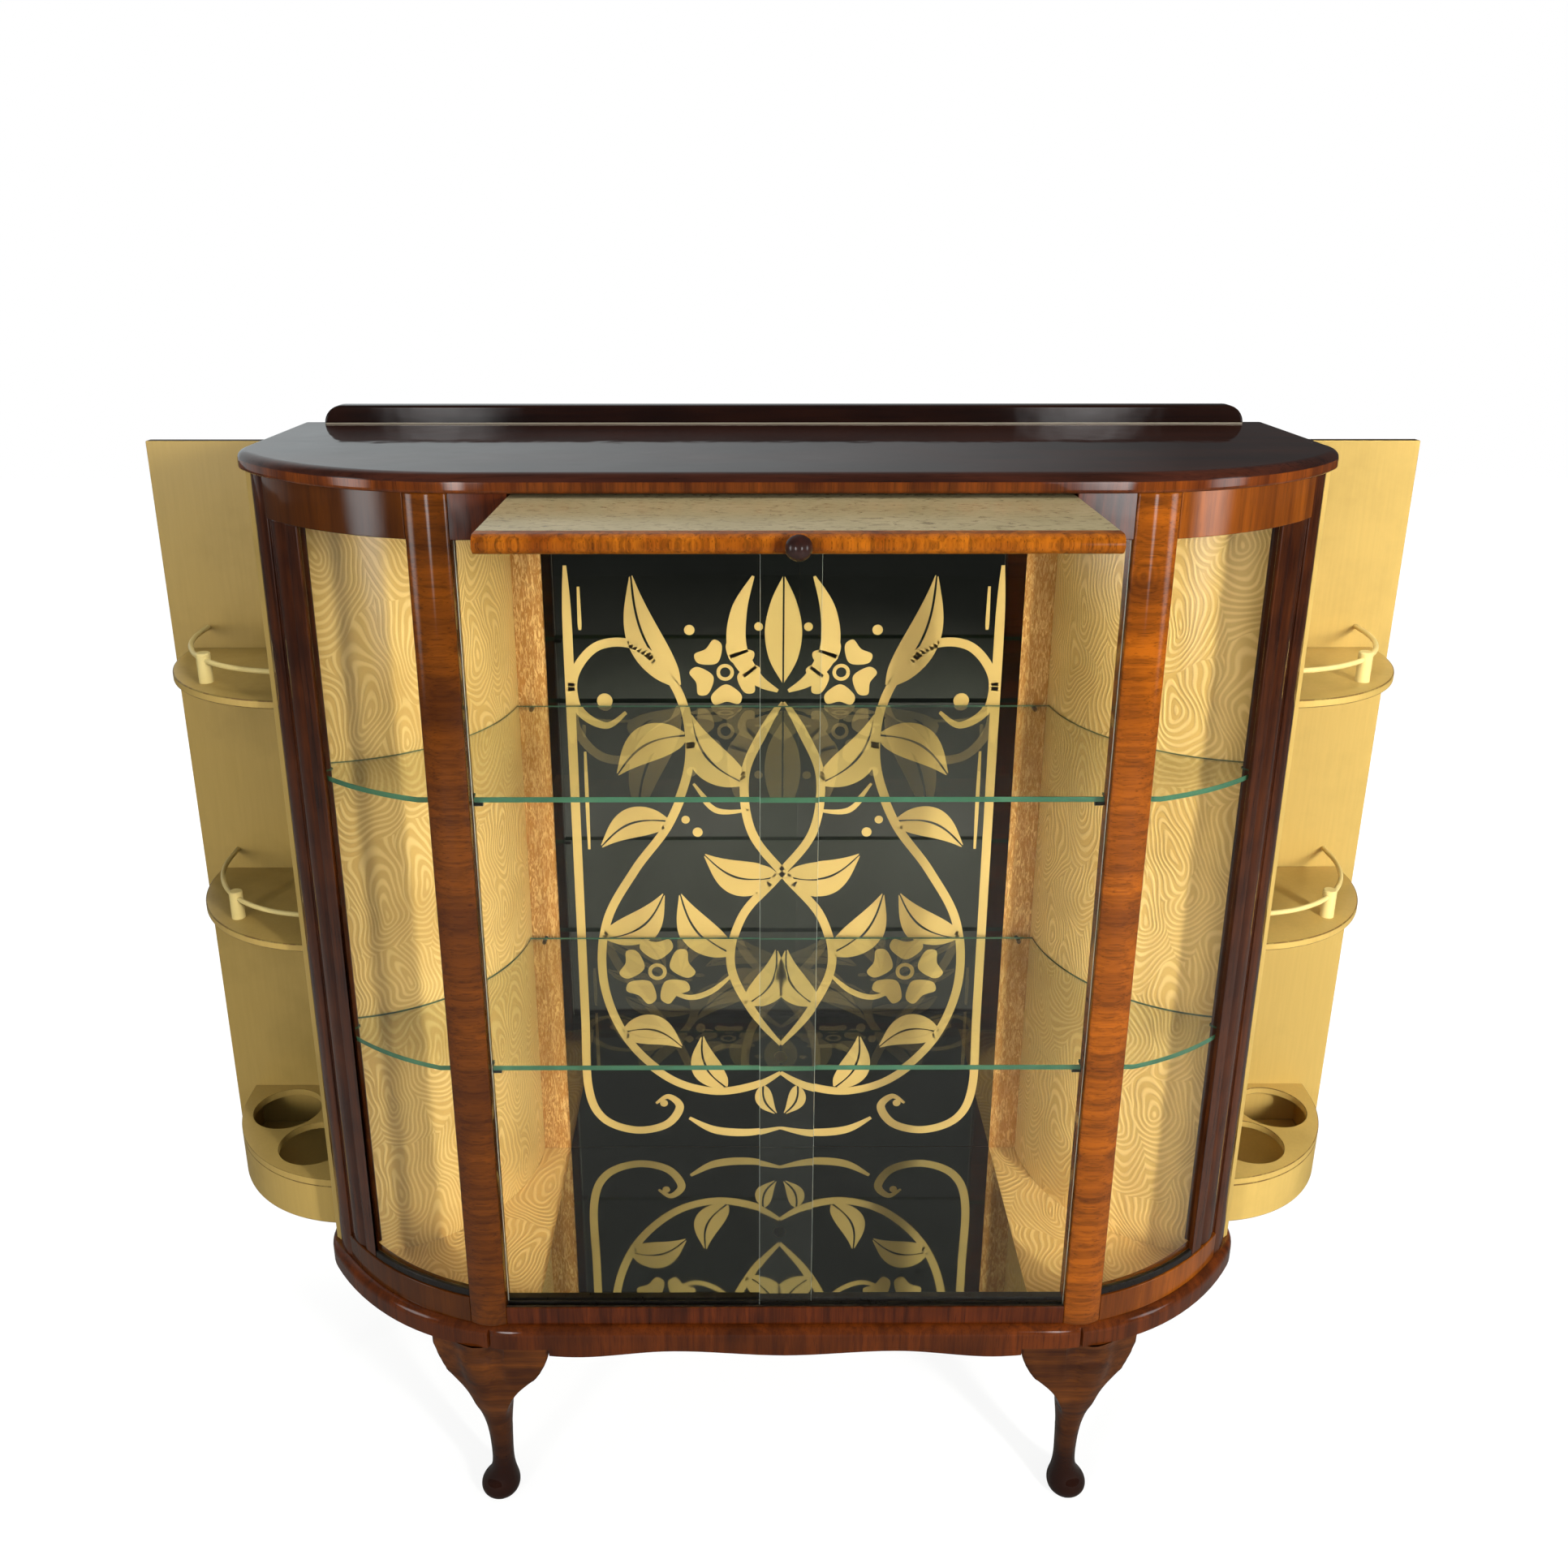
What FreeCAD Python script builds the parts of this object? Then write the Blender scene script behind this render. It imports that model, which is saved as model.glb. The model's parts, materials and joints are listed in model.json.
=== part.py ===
"""Bow-ended bar cabinet: glazed display part, pull-out serving slide and two swing-out bar wings.

Millimetres, +Z up, +Y towards the back. It is drawn with y = 0 on the front plane between the
columns and moved back on export, so that the origin lies under the middle of the whole piece.
Everything is drawn for the right-hand side and mirrored for the left. It stands as in use:
wings swung out, slide drawn out, sliding doors closed.
"""
import FreeCAD, Part
import math
import os
from FreeCAD import Vector

# Heights of the cabinet, from the floor up
LEG_HEIGHT = 222.0
BASE_THICK = 26.0
BODY_HEIGHT = 902.0
TOP_THICK = 18.0
GALLERY_HEIGHT = 20.0

# Plan of the carcass
COLUMN_GAP = 601.0
COLUMN_WIDTH = 40.0
COLUMN_CROWN = 5.0
COLUMN_SETBACK = 4.0
BODY_DEPTH = 345.0
BOW_RADIUS = 310.0
BOW_START = 15.0
BOW_END = 56.4
BOARD_OVERHANG = 9.0
BOARD_BLEND_ANGLE = 35.0
BOARD_CORNER_RADIUS = 70.0
RAIL_DEPTH = 25.0
FRAME_DEPTH = 20.0

# Side posts, jambs and the rear frame
JAMB_PROUD = 5.5
JAMB_DEPTH = 16.3
OUTER_REED_WIDTH = 37.0
INNER_REED_WIDTH = 35.0
REED_CROWN = 3.0
REED_SETBACK = 1.5
INNER_REED_SETBACK = 4.0
POST_DEPTH = 24.0
STILE_WIDTH = 40.0
STILE_THICK = 11.0
HINGE_STEP = 14.0

# Frieze, rails and glazing
FRIEZE_HEIGHT = 42.0
CURVED_RAIL_HEIGHT = 33.0
GLASS_SETBACK = 6.0
GLASS_THICK = 3.0
GLASS_BITE = 3.0
BEAD_WIDTH = 20.0
BEAD_PROUD = 4.5
BEAD_HEIGHT = 9.0
FIT = 0.3

# Sliding doors and their track
DOOR_GLASS = 4.0
GROOVE_WIDTH = 5.0
GROOVE_PITCH = 7.0
FRONT_GROOVE_Y = 7.5
TRACK_THICK = 9.0
TRACK_GROOVE_DEPTH = 6.0
TRACK_TOP_Z_ABOVE_BASE = 22.0
TRACK_LIP = 2.5
FRIEZE_GROOVE_DEPTH = 12.0
DOOR_LIFT_ROOM = 2.0
DOOR_OVERLAP = 56.0

# Display interior
WALL_FRONT_Y = 108.0
WALL_SIDE_SETBACK = 24.0
WALL_THICK = 4.0
MIRROR_THICK = 4.0
BACK_STRIP_WIDTH = 34.0
MIRROR_BOARD_THICK = 4.0
STRIP_THICK = 2.0
BACK_PANEL_THICK = 4.0
BACK_PANEL_INSET = 3.0
BATTEN_WIDTH = 20.0
BATTEN_DEPTH = 29.0
LINING_THICK = 2.0
FLOOR_MIRROR_THICK = 3.0

# Glass shelves
SHELF_GLASS = 5.5
UPPER_SHELF_SHARE = 0.6757
LOWER_SHELF_SHARE = 0.3481
SHELF_FRONT_Y = 18.0
SHELF_BACK_GAP = 12.5
SHELF_GAP = 1.0
PEG_RADIUS = 2.5
PEG_REACH = 9.0
PEG_SEAT = 6.0

# Serving slide
SLIDE_INSET = 53.5
SLIDE_TRAVEL = 163.0
SLIDE_PROUD = 6.0
SLIDE_TAIL = 45.0
SLIDE_BOARD_THICK = 14.0
LAMINATE_THICK = 1.5
SLIDE_TOP_GAP = 3.0
SLIDE_SIDE_GAP = 1.5
LIP_DEPTH = 18.0
LIP_LAP = 0.2
LIP_NOSE = 7.0
KNOB_RADIUS = 10.4
KNOB_DEPTH = 16.0
KNOB_NECK_RADIUS = 6.5
KNOB_NECK_SHARE = 0.3
KNOB_RIM_SHARE = 0.55
RUNNER_WIDTH = 14.0
RUNNER_LEDGE = 12.0
RUNNER_LEDGE_THICK = 9.0
RUNNER_REAR_GAP = 9.0
SLIDE_RUN_GAP = 0.4
STOP_DEPTH = 12.0
STOP_HALF_LENGTH = 120.0
STOP_THICK = 9.0

# Bar wings, each drawn open about its hinge pin
WING_THICK = 13.5
WING_TOP_GAP = 3.0
WING_FOOT_GAP = 4.0
WING_EDGE_GAP = 1.0
KNUCKLE_RADIUS = 3.0
PIN_RADIUS = 1.5
PIN_PLAY = 0.05
LEAF_THICK = 1.2
LEAF_WIDTH = 22.0
HINGE_HEIGHT = 50.0
KNUCKLE_GAP = 0.3
HINGE_PLACE_SHARES = (0.1, 0.5, 0.9)
WING_SHELF_MARGIN = 20.4
WING_SHELF_CENTRE = (5.5, -23.5)
WING_SHELF_THICK = 9.0
WING_SHELF_HEIGHT_SHARES = (0.7317, 0.4191)
WING_SHELF_STILE_GAP = 1.6
RAIL_INSET = 22.0
RAIL_ROD_RADIUS = 2.8
RAIL_HEIGHT = 25.0
RAIL_PEG_RADIUS = 7.5
RAIL_PEG_HEIGHT = 33.0
RAIL_PEG_ARRIS = 1.2
RACK_STEP = 4.0
RACK_HEIGHT = 61.0
RACK_PLATE_THICK = 9.0
RACK_WALL = 5.0
RACK_FLOOR_THICK = 6.0
BOTTLE_HOLE_RADIUS = 42.0
BOTTLE_HOLE_SHARES = ((0.654, -0.163), (0.331, -0.58))

# Top and base edges
TOP_NOSE = 9.0
TOP_UNDER_NOSE = 3.5
BASE_NOSE = 10.0
GALLERY_THICK = 18.0
GALLERY_END_SETBACK = 23.0
GALLERY_ARRIS = 3.0

# Front apron and legs
APRON_DEPTH = 20.0
APRON_DROP = 8.5
APRON_WAVE = 5.5
APRON_WAVE_SHARES = (-1.0, -0.86, -0.53, 0.0, 0.53, 0.86, 1.0)
APRON_RISE_SHARES = (0.0, -0.35, 1.0, 0.0, 1.0, -0.35, 0.0)
LEG_STEP = 3.5
LEG_FOOT_Y = 15.0
REAR_LEG_SIDE_SETBACK = 38.0
REAR_LEG_BACK_SETBACK = 39.0
ANKLE_RADIUS = 12.5
FOOT_RADIUS = 22.0
KNEE_HALF_WIDTH = 31.0
KNEE_HALF_DEPTH = 27.0
EAR_THICK = 22.0
EAR_SETBACK = 5.0
EAR_LENGTH = 52.0
EAR_HEIGHT = 94.0
EAR_INNER_ROOT = 16.0
EAR_OUTER_ROOT = 17.0
EAR_EDGE_SHARES = ((0.0, 0.0), (0.085, 0.12), (0.29, 0.31), (0.59, 0.46), (0.82, 0.64), (1.0, 0.96))
NOTCH_WIDTH = 8.0
NOTCH_DEPTH = 6.0

# Heights worked out from the sizes above
BASE_TOP = LEG_HEIGHT + BASE_THICK
TOP_UNDER = BASE_TOP + BODY_HEIGHT
TOP_FACE = TOP_UNDER + TOP_THICK
FRIEZE_UNDER = TOP_UNDER - FRIEZE_HEIGHT
CURVED_RAIL_TOP = BASE_TOP + CURVED_RAIL_HEIGHT
TRACK_TOP = BASE_TOP + TRACK_TOP_Z_ABOVE_BASE
FLOOR_TOP = BASE_TOP + LINING_THICK

# Places in plan worked out from the sizes above
COLUMN_INNER_X = COLUMN_GAP / 2
COLUMN_OUTER_X = COLUMN_INNER_X + COLUMN_WIDTH
BOW_X = COLUMN_OUTER_X - BOW_RADIUS * math.sin(math.radians(BOW_START))
BOW_Y = COLUMN_SETBACK + BOW_RADIUS * math.cos(math.radians(BOW_START))
SIDE_X = BOW_X + BOW_RADIUS * math.sin(math.radians(BOW_END)) + JAMB_PROUD
POST_CORNER_Y = BOW_Y - (BOW_RADIUS - REED_SETBACK) * math.cos(math.radians(BOW_END))
JAMB_REAR = POST_CORNER_Y + JAMB_DEPTH
FRIEZE_END = BOW_END - math.degrees(OUTER_REED_WIDTH / BOW_RADIUS)
GLASS_END = FRIEZE_END - math.degrees(INNER_REED_WIDTH / BOW_RADIUS)
BEAD_START = GLASS_END - math.degrees(BEAD_WIDTH / BOW_RADIUS)
GLASS_OUTER = BOW_RADIUS - GLASS_SETBACK
GLASS_INNER = GLASS_OUTER - GLASS_THICK
STILE_OUTER_X = SIDE_X - HINGE_STEP
STILE_FRONT_Y = BODY_DEPTH - STILE_THICK
BACK_PANEL_BACK = BODY_DEPTH - BACK_PANEL_INSET
BACK_PANEL_FRONT = BACK_PANEL_BACK - BACK_PANEL_THICK
MIRROR_BOARD_BACK = BACK_PANEL_FRONT - BATTEN_DEPTH
MIRROR_BACK_Y = MIRROR_BOARD_BACK - MIRROR_BOARD_THICK
MIRROR_FACE_Y = MIRROR_BACK_Y - MIRROR_THICK
WALL_RADIUS = MIRROR_BACK_Y - WALL_FRONT_Y
WALL_CENTRE_X = SIDE_X - WALL_SIDE_SETBACK
WALL_INNER_X = WALL_CENTRE_X - WALL_RADIUS
MIRROR_HALF_WIDTH = WALL_INNER_X - BACK_STRIP_WIDTH
MIRROR_BOARD_HALF = WALL_INNER_X + 2 * WALL_THICK
PIN_X = STILE_OUTER_X
PIN_Y = BODY_DEPTH + KNUCKLE_RADIUS + LEAF_THICK - FIT
LEAF_BACK = PIN_Y - BODY_DEPTH
WING_WIDTH = BODY_DEPTH - JAMB_REAR - WING_EDGE_GAP
WING_FOOT = BASE_TOP + WING_FOOT_GAP
WING_HEAD = TOP_UNDER - WING_TOP_GAP
WING_SHELF_RADIUS = LEAF_BACK + WING_WIDTH - WING_SHELF_MARGIN - WING_SHELF_CENTRE[0]
RACK_RADIUS = WING_SHELF_RADIUS - RACK_STEP
RACK_TOP = WING_FOOT + RACK_HEIGHT
WING_SHELF_START = LEAF_BACK + STILE_THICK + WING_SHELF_STILE_GAP - FIT
LEG_FOOT_X = COLUMN_INNER_X + COLUMN_WIDTH / 2 + LEG_STEP
REAR_LEG_X = SIDE_X - REAR_LEG_SIDE_SETBACK
REAR_LEG_Y = BODY_DEPTH - REAR_LEG_BACK_SETBACK
APRON_HALF_LENGTH = LEG_FOOT_X - EAR_INNER_ROOT - EAR_LENGTH
SLIDE_HALF_WIDTH = COLUMN_INNER_X - SLIDE_INSET
SLIDE_TAIL_Y = RAIL_DEPTH + SLIDE_TAIL
RUNNER_REAR_Y = MIRROR_FACE_Y - RUNNER_REAR_GAP
SLIDE_TOP = TOP_UNDER - SLIDE_TOP_GAP
SLIDE_UNDER = SLIDE_TOP - LAMINATE_THICK - SLIDE_BOARD_THICK
SLIDE_FRONT_Y = -SLIDE_PROUD - SLIDE_TRAVEL
GALLERY_HALF = SIDE_X - GALLERY_END_SETBACK
FRAME_FRONT_Y = SLIDE_FRONT_Y - KNOB_DEPTH
FRAME_BACK_Y = PIN_Y + FIT + WING_THICK
FRAME_MID_Y = (FRAME_FRONT_Y + FRAME_BACK_Y) / 2

PARTS = {}


def keep(name, *solids):
    """Store one node, moved so that the origin lies under the middle of the piece."""
    shape = solids[0] if len(solids) == 1 else Part.makeCompound(list(solids))
    PARTS[name] = shape.translated(Vector(0, -FRAME_MID_Y, 0))


def mirrored(shape):
    return shape.mirror(Vector(0, 0, 0), Vector(1, 0, 0))


def keep_pair(name, *solids):
    """Store a right-hand node and its mirrored left-hand twin."""
    keep("right_" + name, *solids)
    keep("left_" + name, *[mirrored(solid) for solid in solids])


def block(x0, x1, y0, y1, z0, z1):
    return Part.makeBox(x1 - x0, y1 - y0, z1 - z0, Vector(x0, y0, z0))


def line(a, b):
    return Part.LineSegment(a, b).toShape()


def arc(a, middle, b):
    return Part.Arc(a, middle, b).toShape()


def extruded(edges, direction):
    """Extrude the face inside a closed chain of edges."""
    return Part.Face(Part.Wire(edges)).extrude(direction)


def largest(shape):
    return max(shape.Solids, key=lambda solid: solid.Volume)


def upright(points, z0, z1):
    """A prism on a plan polygon."""
    corners = [Vector(x, y, z0) for x, y in points]
    edges = [line(corners[i - 1], corners[i]) for i in range(len(corners))]
    return extruded(edges, Vector(0, 0, z1 - z0))


def polar(radius, angle, z=0.0, centre=(BOW_X, BOW_Y)):
    """Plan point at an angle from straight forward, about the centre of the bow."""
    turn = math.radians(angle)
    return Vector(centre[0] + radius * math.sin(turn), centre[1] - radius * math.cos(turn), z)


def sector(inner, outer, start, end, z0, z1, centre=(BOW_X, BOW_Y), crown=0.0):
    """A curved board between two radii and two angles, its outer face swelled by a crown."""
    middle = (start + end) / 2
    edges = [arc(polar(outer, start, z0, centre), polar(outer + crown, middle, z0, centre),
                 polar(outer, end, z0, centre)),
             line(polar(outer, end, z0, centre), polar(inner, end, z0, centre)),
             arc(polar(inner, end, z0, centre), polar(inner, middle, z0, centre),
                 polar(inner, start, z0, centre)),
             line(polar(inner, start, z0, centre), polar(outer, start, z0, centre))]
    return extruded(edges, Vector(0, 0, z1 - z0))


def board_outline(overhang, z):
    """Outline of the top and base boards: straight front, smooth bow, rounded shoulder, side."""
    reach = BOW_RADIUS + overhang
    front_y = -overhang
    side_x = SIDE_X + overhang
    blend = math.radians(BOARD_BLEND_ANGLE)
    blend_radius = (BOW_Y - reach * math.cos(blend) - front_y) / (1 - math.cos(blend))
    blend_centre = (BOW_X + (reach - blend_radius) * math.sin(blend),
                    BOW_Y - (reach - blend_radius) * math.cos(blend))
    corner_x = side_x - BOARD_CORNER_RADIUS
    corner_y = BOW_Y - math.sqrt((reach - BOARD_CORNER_RADIUS) ** 2 - (corner_x - BOW_X) ** 2)
    shoulder = math.degrees(math.asin((corner_x - BOW_X) / (reach - BOARD_CORNER_RADIUS)))
    corner = (corner_x, corner_y)
    right = [arc(polar(blend_radius, 0, z, blend_centre),
                 polar(blend_radius, BOARD_BLEND_ANGLE / 2, z, blend_centre),
                 polar(reach, BOARD_BLEND_ANGLE, z)),
             arc(polar(reach, BOARD_BLEND_ANGLE, z),
                 polar(reach, (BOARD_BLEND_ANGLE + shoulder) / 2, z), polar(reach, shoulder, z)),
             arc(polar(reach, shoulder, z),
                 polar(BOARD_CORNER_RADIUS, (shoulder + 90) / 2, z, corner),
                 Vector(side_x, corner_y, z)),
             line(Vector(side_x, corner_y, z), Vector(side_x, BODY_DEPTH, z))]
    left = [mirrored(edge) for edge in right]
    front = line(Vector(-blend_centre[0], front_y, z), Vector(blend_centre[0], front_y, z))
    back = line(Vector(side_x, BODY_DEPTH, z), Vector(-side_x, BODY_DEPTH, z))
    return Part.Wire(Part.__sortEdges__([front, back] + right + left))


def nose_edges(board, z):
    """Edges of a board at one height, without the straight one along the back."""
    found = []
    for edge in board.Edges:
        box = edge.BoundBox
        level = abs(box.ZMin - z) < FIT and abs(box.ZMax - z) < FIT
        if level and box.YMin < BODY_DEPTH - FIT:
            found.append(edge)
    return found


def top_board():
    board = Part.Face(board_outline(BOARD_OVERHANG, TOP_UNDER)).extrude(Vector(0, 0, TOP_THICK))
    board = board.makeFillet(TOP_NOSE, nose_edges(board, TOP_FACE))
    board = board.makeFillet(TOP_UNDER_NOSE, nose_edges(board, TOP_UNDER))
    keep("top_board", board)


def base_board():
    """Board on the legs, its nosing notched under each column where the lengths of it meet."""
    board = Part.Face(board_outline(BOARD_OVERHANG, LEG_HEIGHT)).extrude(Vector(0, 0, BASE_THICK))
    board = board.makeFillet(BASE_NOSE, nose_edges(board, BASE_TOP))
    middle = COLUMN_INNER_X + COLUMN_WIDTH / 2
    notch = upright([(middle - NOTCH_WIDTH / 2, -BOARD_OVERHANG - FIT),
                     (middle + NOTCH_WIDTH / 2, -BOARD_OVERHANG - FIT),
                     (middle, NOTCH_DEPTH - BOARD_OVERHANG)], LEG_HEIGHT, BASE_TOP)
    keep("base_board", board.cut(notch).cut(mirrored(notch)))


def back_gallery():
    """Low upstand along the back of the top, with quarter-round ends."""
    y = BODY_DEPTH - GALLERY_THICK
    ends = []
    for side in (1, -1):
        tip = Vector(side * GALLERY_HALF, y, TOP_FACE)
        crown = Vector(side * (GALLERY_HALF - GALLERY_HEIGHT), y, TOP_FACE + GALLERY_HEIGHT)
        half = math.sqrt(0.5)
        middle = Vector(side * (GALLERY_HALF - GALLERY_HEIGHT * (1 - half)), y,
                        TOP_FACE + GALLERY_HEIGHT * half)
        ends.append((tip, middle, crown))
    right, left = ends
    edges = [line(left[0], right[0]), arc(*right), line(right[2], left[2]),
             arc(left[2], left[1], left[0])]
    board = extruded(edges, Vector(0, GALLERY_THICK, 0))
    front = [edge for edge in board.Edges
             if edge.BoundBox.YMax < y + FIT and edge.BoundBox.ZMax > TOP_FACE + FIT]
    keep("back_gallery", board.makeFillet(GALLERY_ARRIS, front))


def columns():
    """Bowed uprights between the door opening and the curved glass."""
    inner_back = polar(BOW_RADIUS - POST_DEPTH, BOW_START, BASE_TOP)
    front = [Vector(COLUMN_INNER_X, 0, BASE_TOP),
             Vector((COLUMN_INNER_X + COLUMN_OUTER_X) / 2, COLUMN_SETBACK / 2 - COLUMN_CROWN, BASE_TOP),
             Vector(COLUMN_OUTER_X, COLUMN_SETBACK, BASE_TOP)]
    back = Vector(COLUMN_INNER_X, inner_back.y, BASE_TOP)
    edges = [arc(*front), line(front[2], inner_back), line(inner_back, back), line(back, front[0])]
    keep_pair("column", extruded(edges, Vector(0, 0, BODY_HEIGHT)))


def side_posts():
    """Two-reed posts: the outer reed runs full height, the inner one between rail and frieze."""
    core = BOW_RADIUS - POST_DEPTH
    outer = sector(core, BOW_RADIUS - REED_SETBACK, FRIEZE_END, BOW_END, BASE_TOP, TOP_UNDER,
                   crown=REED_CROWN)
    inner = sector(core, BOW_RADIUS - INNER_REED_SETBACK, GLASS_END, FRIEZE_END,
                   CURVED_RAIL_TOP, FRIEZE_UNDER, crown=REED_CROWN)
    post = outer.fuse(inner)
    keep_pair("side_post", post)
    return post


def jamb_strips():
    """Painted door stop behind each post, a little proud of it at the side."""
    tip = polar(BOW_RADIUS - REED_SETBACK, BOW_END)
    root = polar(BOW_RADIUS - POST_DEPTH, BOW_END)
    jamb = upright([(tip.x, tip.y), (SIDE_X, tip.y + JAMB_PROUD), (SIDE_X, JAMB_REAR),
                    (root.x - JAMB_PROUD, JAMB_REAR), (root.x, root.y)], BASE_TOP, TOP_UNDER)
    keep("jamb_strips", jamb, mirrored(jamb))


def rear_frame():
    """Rear stiles that carry the wings, and the back panel let in between them."""
    stile = block(STILE_OUTER_X - STILE_WIDTH, STILE_OUTER_X, STILE_FRONT_Y, BODY_DEPTH,
                  BASE_TOP, TOP_UNDER)
    keep("rear_stiles", stile, mirrored(stile))
    half = STILE_OUTER_X - STILE_WIDTH
    keep("back_panel", block(-half, half, BACK_PANEL_FRONT, BACK_PANEL_BACK, BASE_TOP, TOP_UNDER))


def centre_frieze():
    """Rail under the top: notched for the slide, grooved below for the sliding doors."""
    rail = block(-COLUMN_INNER_X, COLUMN_INNER_X, 0, RAIL_DEPTH, FRIEZE_UNDER, TOP_UNDER)
    half = SLIDE_HALF_WIDTH + SLIDE_SIDE_GAP
    slot = block(-half, half, -RAIL_DEPTH, 2 * RAIL_DEPTH, SLIDE_UNDER - SLIDE_SIDE_GAP, TOP_UNDER + FIT)
    rail = rail.cut(slot)
    for y in (FRONT_GROOVE_Y, FRONT_GROOVE_Y + GROOVE_PITCH):
        rail = rail.cut(block(-COLUMN_GAP, COLUMN_GAP, y - GROOVE_WIDTH / 2, y + GROOVE_WIDTH / 2,
                              FRIEZE_UNDER - FIT, FRIEZE_UNDER + FRIEZE_GROOVE_DEPTH))
    keep("centre_frieze", rail)


def glass_groove(z0, z1):
    """Room in a curved rail or frieze for the edge of the curved glass."""
    return sector(GLASS_INNER, GLASS_OUTER, 0, GLASS_END, z0, z1)


def curved_rails():
    """Curved frieze above and curved bottom rail below each curved glass."""
    inner = BOW_RADIUS - FRAME_DEPTH
    frieze = sector(inner, BOW_RADIUS, BOW_START, FRIEZE_END, FRIEZE_UNDER, TOP_UNDER)
    frieze = frieze.cut(glass_groove(FRIEZE_UNDER - FIT, FRIEZE_UNDER + GLASS_BITE))
    keep_pair("curved_frieze", frieze)
    rail = sector(inner, BOW_RADIUS, BOW_START, FRIEZE_END, BASE_TOP, CURVED_RAIL_TOP)
    rail = rail.cut(glass_groove(CURVED_RAIL_TOP - GLASS_BITE, CURVED_RAIL_TOP + FIT))
    keep_pair("curved_rail", rail)


def curved_glazing():
    """Bent glass let into rail and frieze, with a bead along its foot and beside the post."""
    glass = sector(GLASS_INNER, GLASS_OUTER, BOW_START, GLASS_END,
                   CURVED_RAIL_TOP - GLASS_BITE, FRIEZE_UNDER + GLASS_BITE)
    keep_pair("curved_glass", glass)
    bead_face = GLASS_OUTER + BEAD_PROUD
    upright_bead = sector(GLASS_OUTER, bead_face, BEAD_START, GLASS_END,
                          CURVED_RAIL_TOP, FRIEZE_UNDER)
    foot_bead = sector(GLASS_OUTER, bead_face, BOW_START, BEAD_START,
                       CURVED_RAIL_TOP, CURVED_RAIL_TOP + BEAD_HEIGHT)
    keep("glazing_beads", upright_bead, foot_bead, mirrored(upright_bead), mirrored(foot_bead))


def front_rail():
    """Bottom rail of the door opening and the grooved track let into it."""
    rail = block(-COLUMN_INNER_X, COLUMN_INNER_X, 0, RAIL_DEPTH, BASE_TOP, TRACK_TOP)
    bed = block(-COLUMN_GAP, COLUMN_GAP, TRACK_LIP, 2 * RAIL_DEPTH, TRACK_TOP - TRACK_THICK,
                TRACK_TOP + FIT)
    keep("front_rail", rail.cut(bed))
    track = block(-COLUMN_INNER_X, COLUMN_INNER_X, TRACK_LIP, RAIL_DEPTH, TRACK_TOP - TRACK_THICK,
                  TRACK_TOP)
    for y in (FRONT_GROOVE_Y, FRONT_GROOVE_Y + GROOVE_PITCH):
        track = track.cut(block(-COLUMN_GAP, COLUMN_GAP, y - GROOVE_WIDTH / 2, y + GROOVE_WIDTH / 2,
                                TRACK_TOP - TRACK_GROOVE_DEPTH, TRACK_TOP + FIT))
    keep("door_track", track)


def sliding_doors():
    """Two plain sheets of glass: the right one runs in the front groove."""
    foot = TRACK_TOP - TRACK_GROOVE_DEPTH + FIT
    head = FRIEZE_UNDER + FRIEZE_GROOVE_DEPTH - DOOR_LIFT_ROOM
    reach = COLUMN_INNER_X - FIT
    half = DOOR_GLASS / 2
    rear_y = FRONT_GROOVE_Y + GROOVE_PITCH
    keep("right_glass_door", block(-DOOR_OVERLAP / 2, reach, FRONT_GROOVE_Y - half,
                                   FRONT_GROOVE_Y + half, foot, head))
    keep("left_glass_door", block(-reach, DOOR_OVERLAP / 2, rear_y - half, rear_y + half, foot, head))


def curved_walls(post):
    """Convex quarter-round walls that part the display from the side compartments."""
    centre = (WALL_CENTRE_X, MIRROR_BACK_Y)
    wall = sector(WALL_RADIUS - WALL_THICK, WALL_RADIUS, -90, 0, BASE_TOP, TOP_UNDER, centre)
    span = block(0, polar(BOW_RADIUS, FRIEZE_END).x, -BODY_DEPTH, BODY_DEPTH, 0, TOP_FACE)
    wall = wall.common(span).cut(post)
    frieze_backs = sector(BOW_RADIUS - FRAME_DEPTH, BOW_RADIUS, BOW_START, FRIEZE_END,
                          BASE_TOP, TOP_UNDER)
    keep_pair("curved_wall", largest(wall.cut(frieze_backs)))


def display_back():
    """Mirror, its board, the covered strips beside it and the battens behind."""
    half = MIRROR_HALF_WIDTH
    keep("back_mirror", block(-half, half, MIRROR_FACE_Y, MIRROR_BACK_Y,
                              FLOOR_TOP + FLOOR_MIRROR_THICK, TOP_UNDER))
    board = MIRROR_BOARD_HALF
    keep("mirror_board", block(-board, board, MIRROR_BACK_Y, MIRROR_BOARD_BACK, BASE_TOP, TOP_UNDER))
    strip = block(half, WALL_INNER_X, MIRROR_BACK_Y - STRIP_THICK, MIRROR_BACK_Y, FLOOR_TOP, TOP_UNDER)
    keep("back_strips", strip, mirrored(strip))
    batten = block(board - BATTEN_WIDTH, board, MIRROR_BOARD_BACK, BACK_PANEL_FRONT,
                   BASE_TOP, TOP_UNDER)
    keep("mirror_battens", batten, mirrored(batten))


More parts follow.
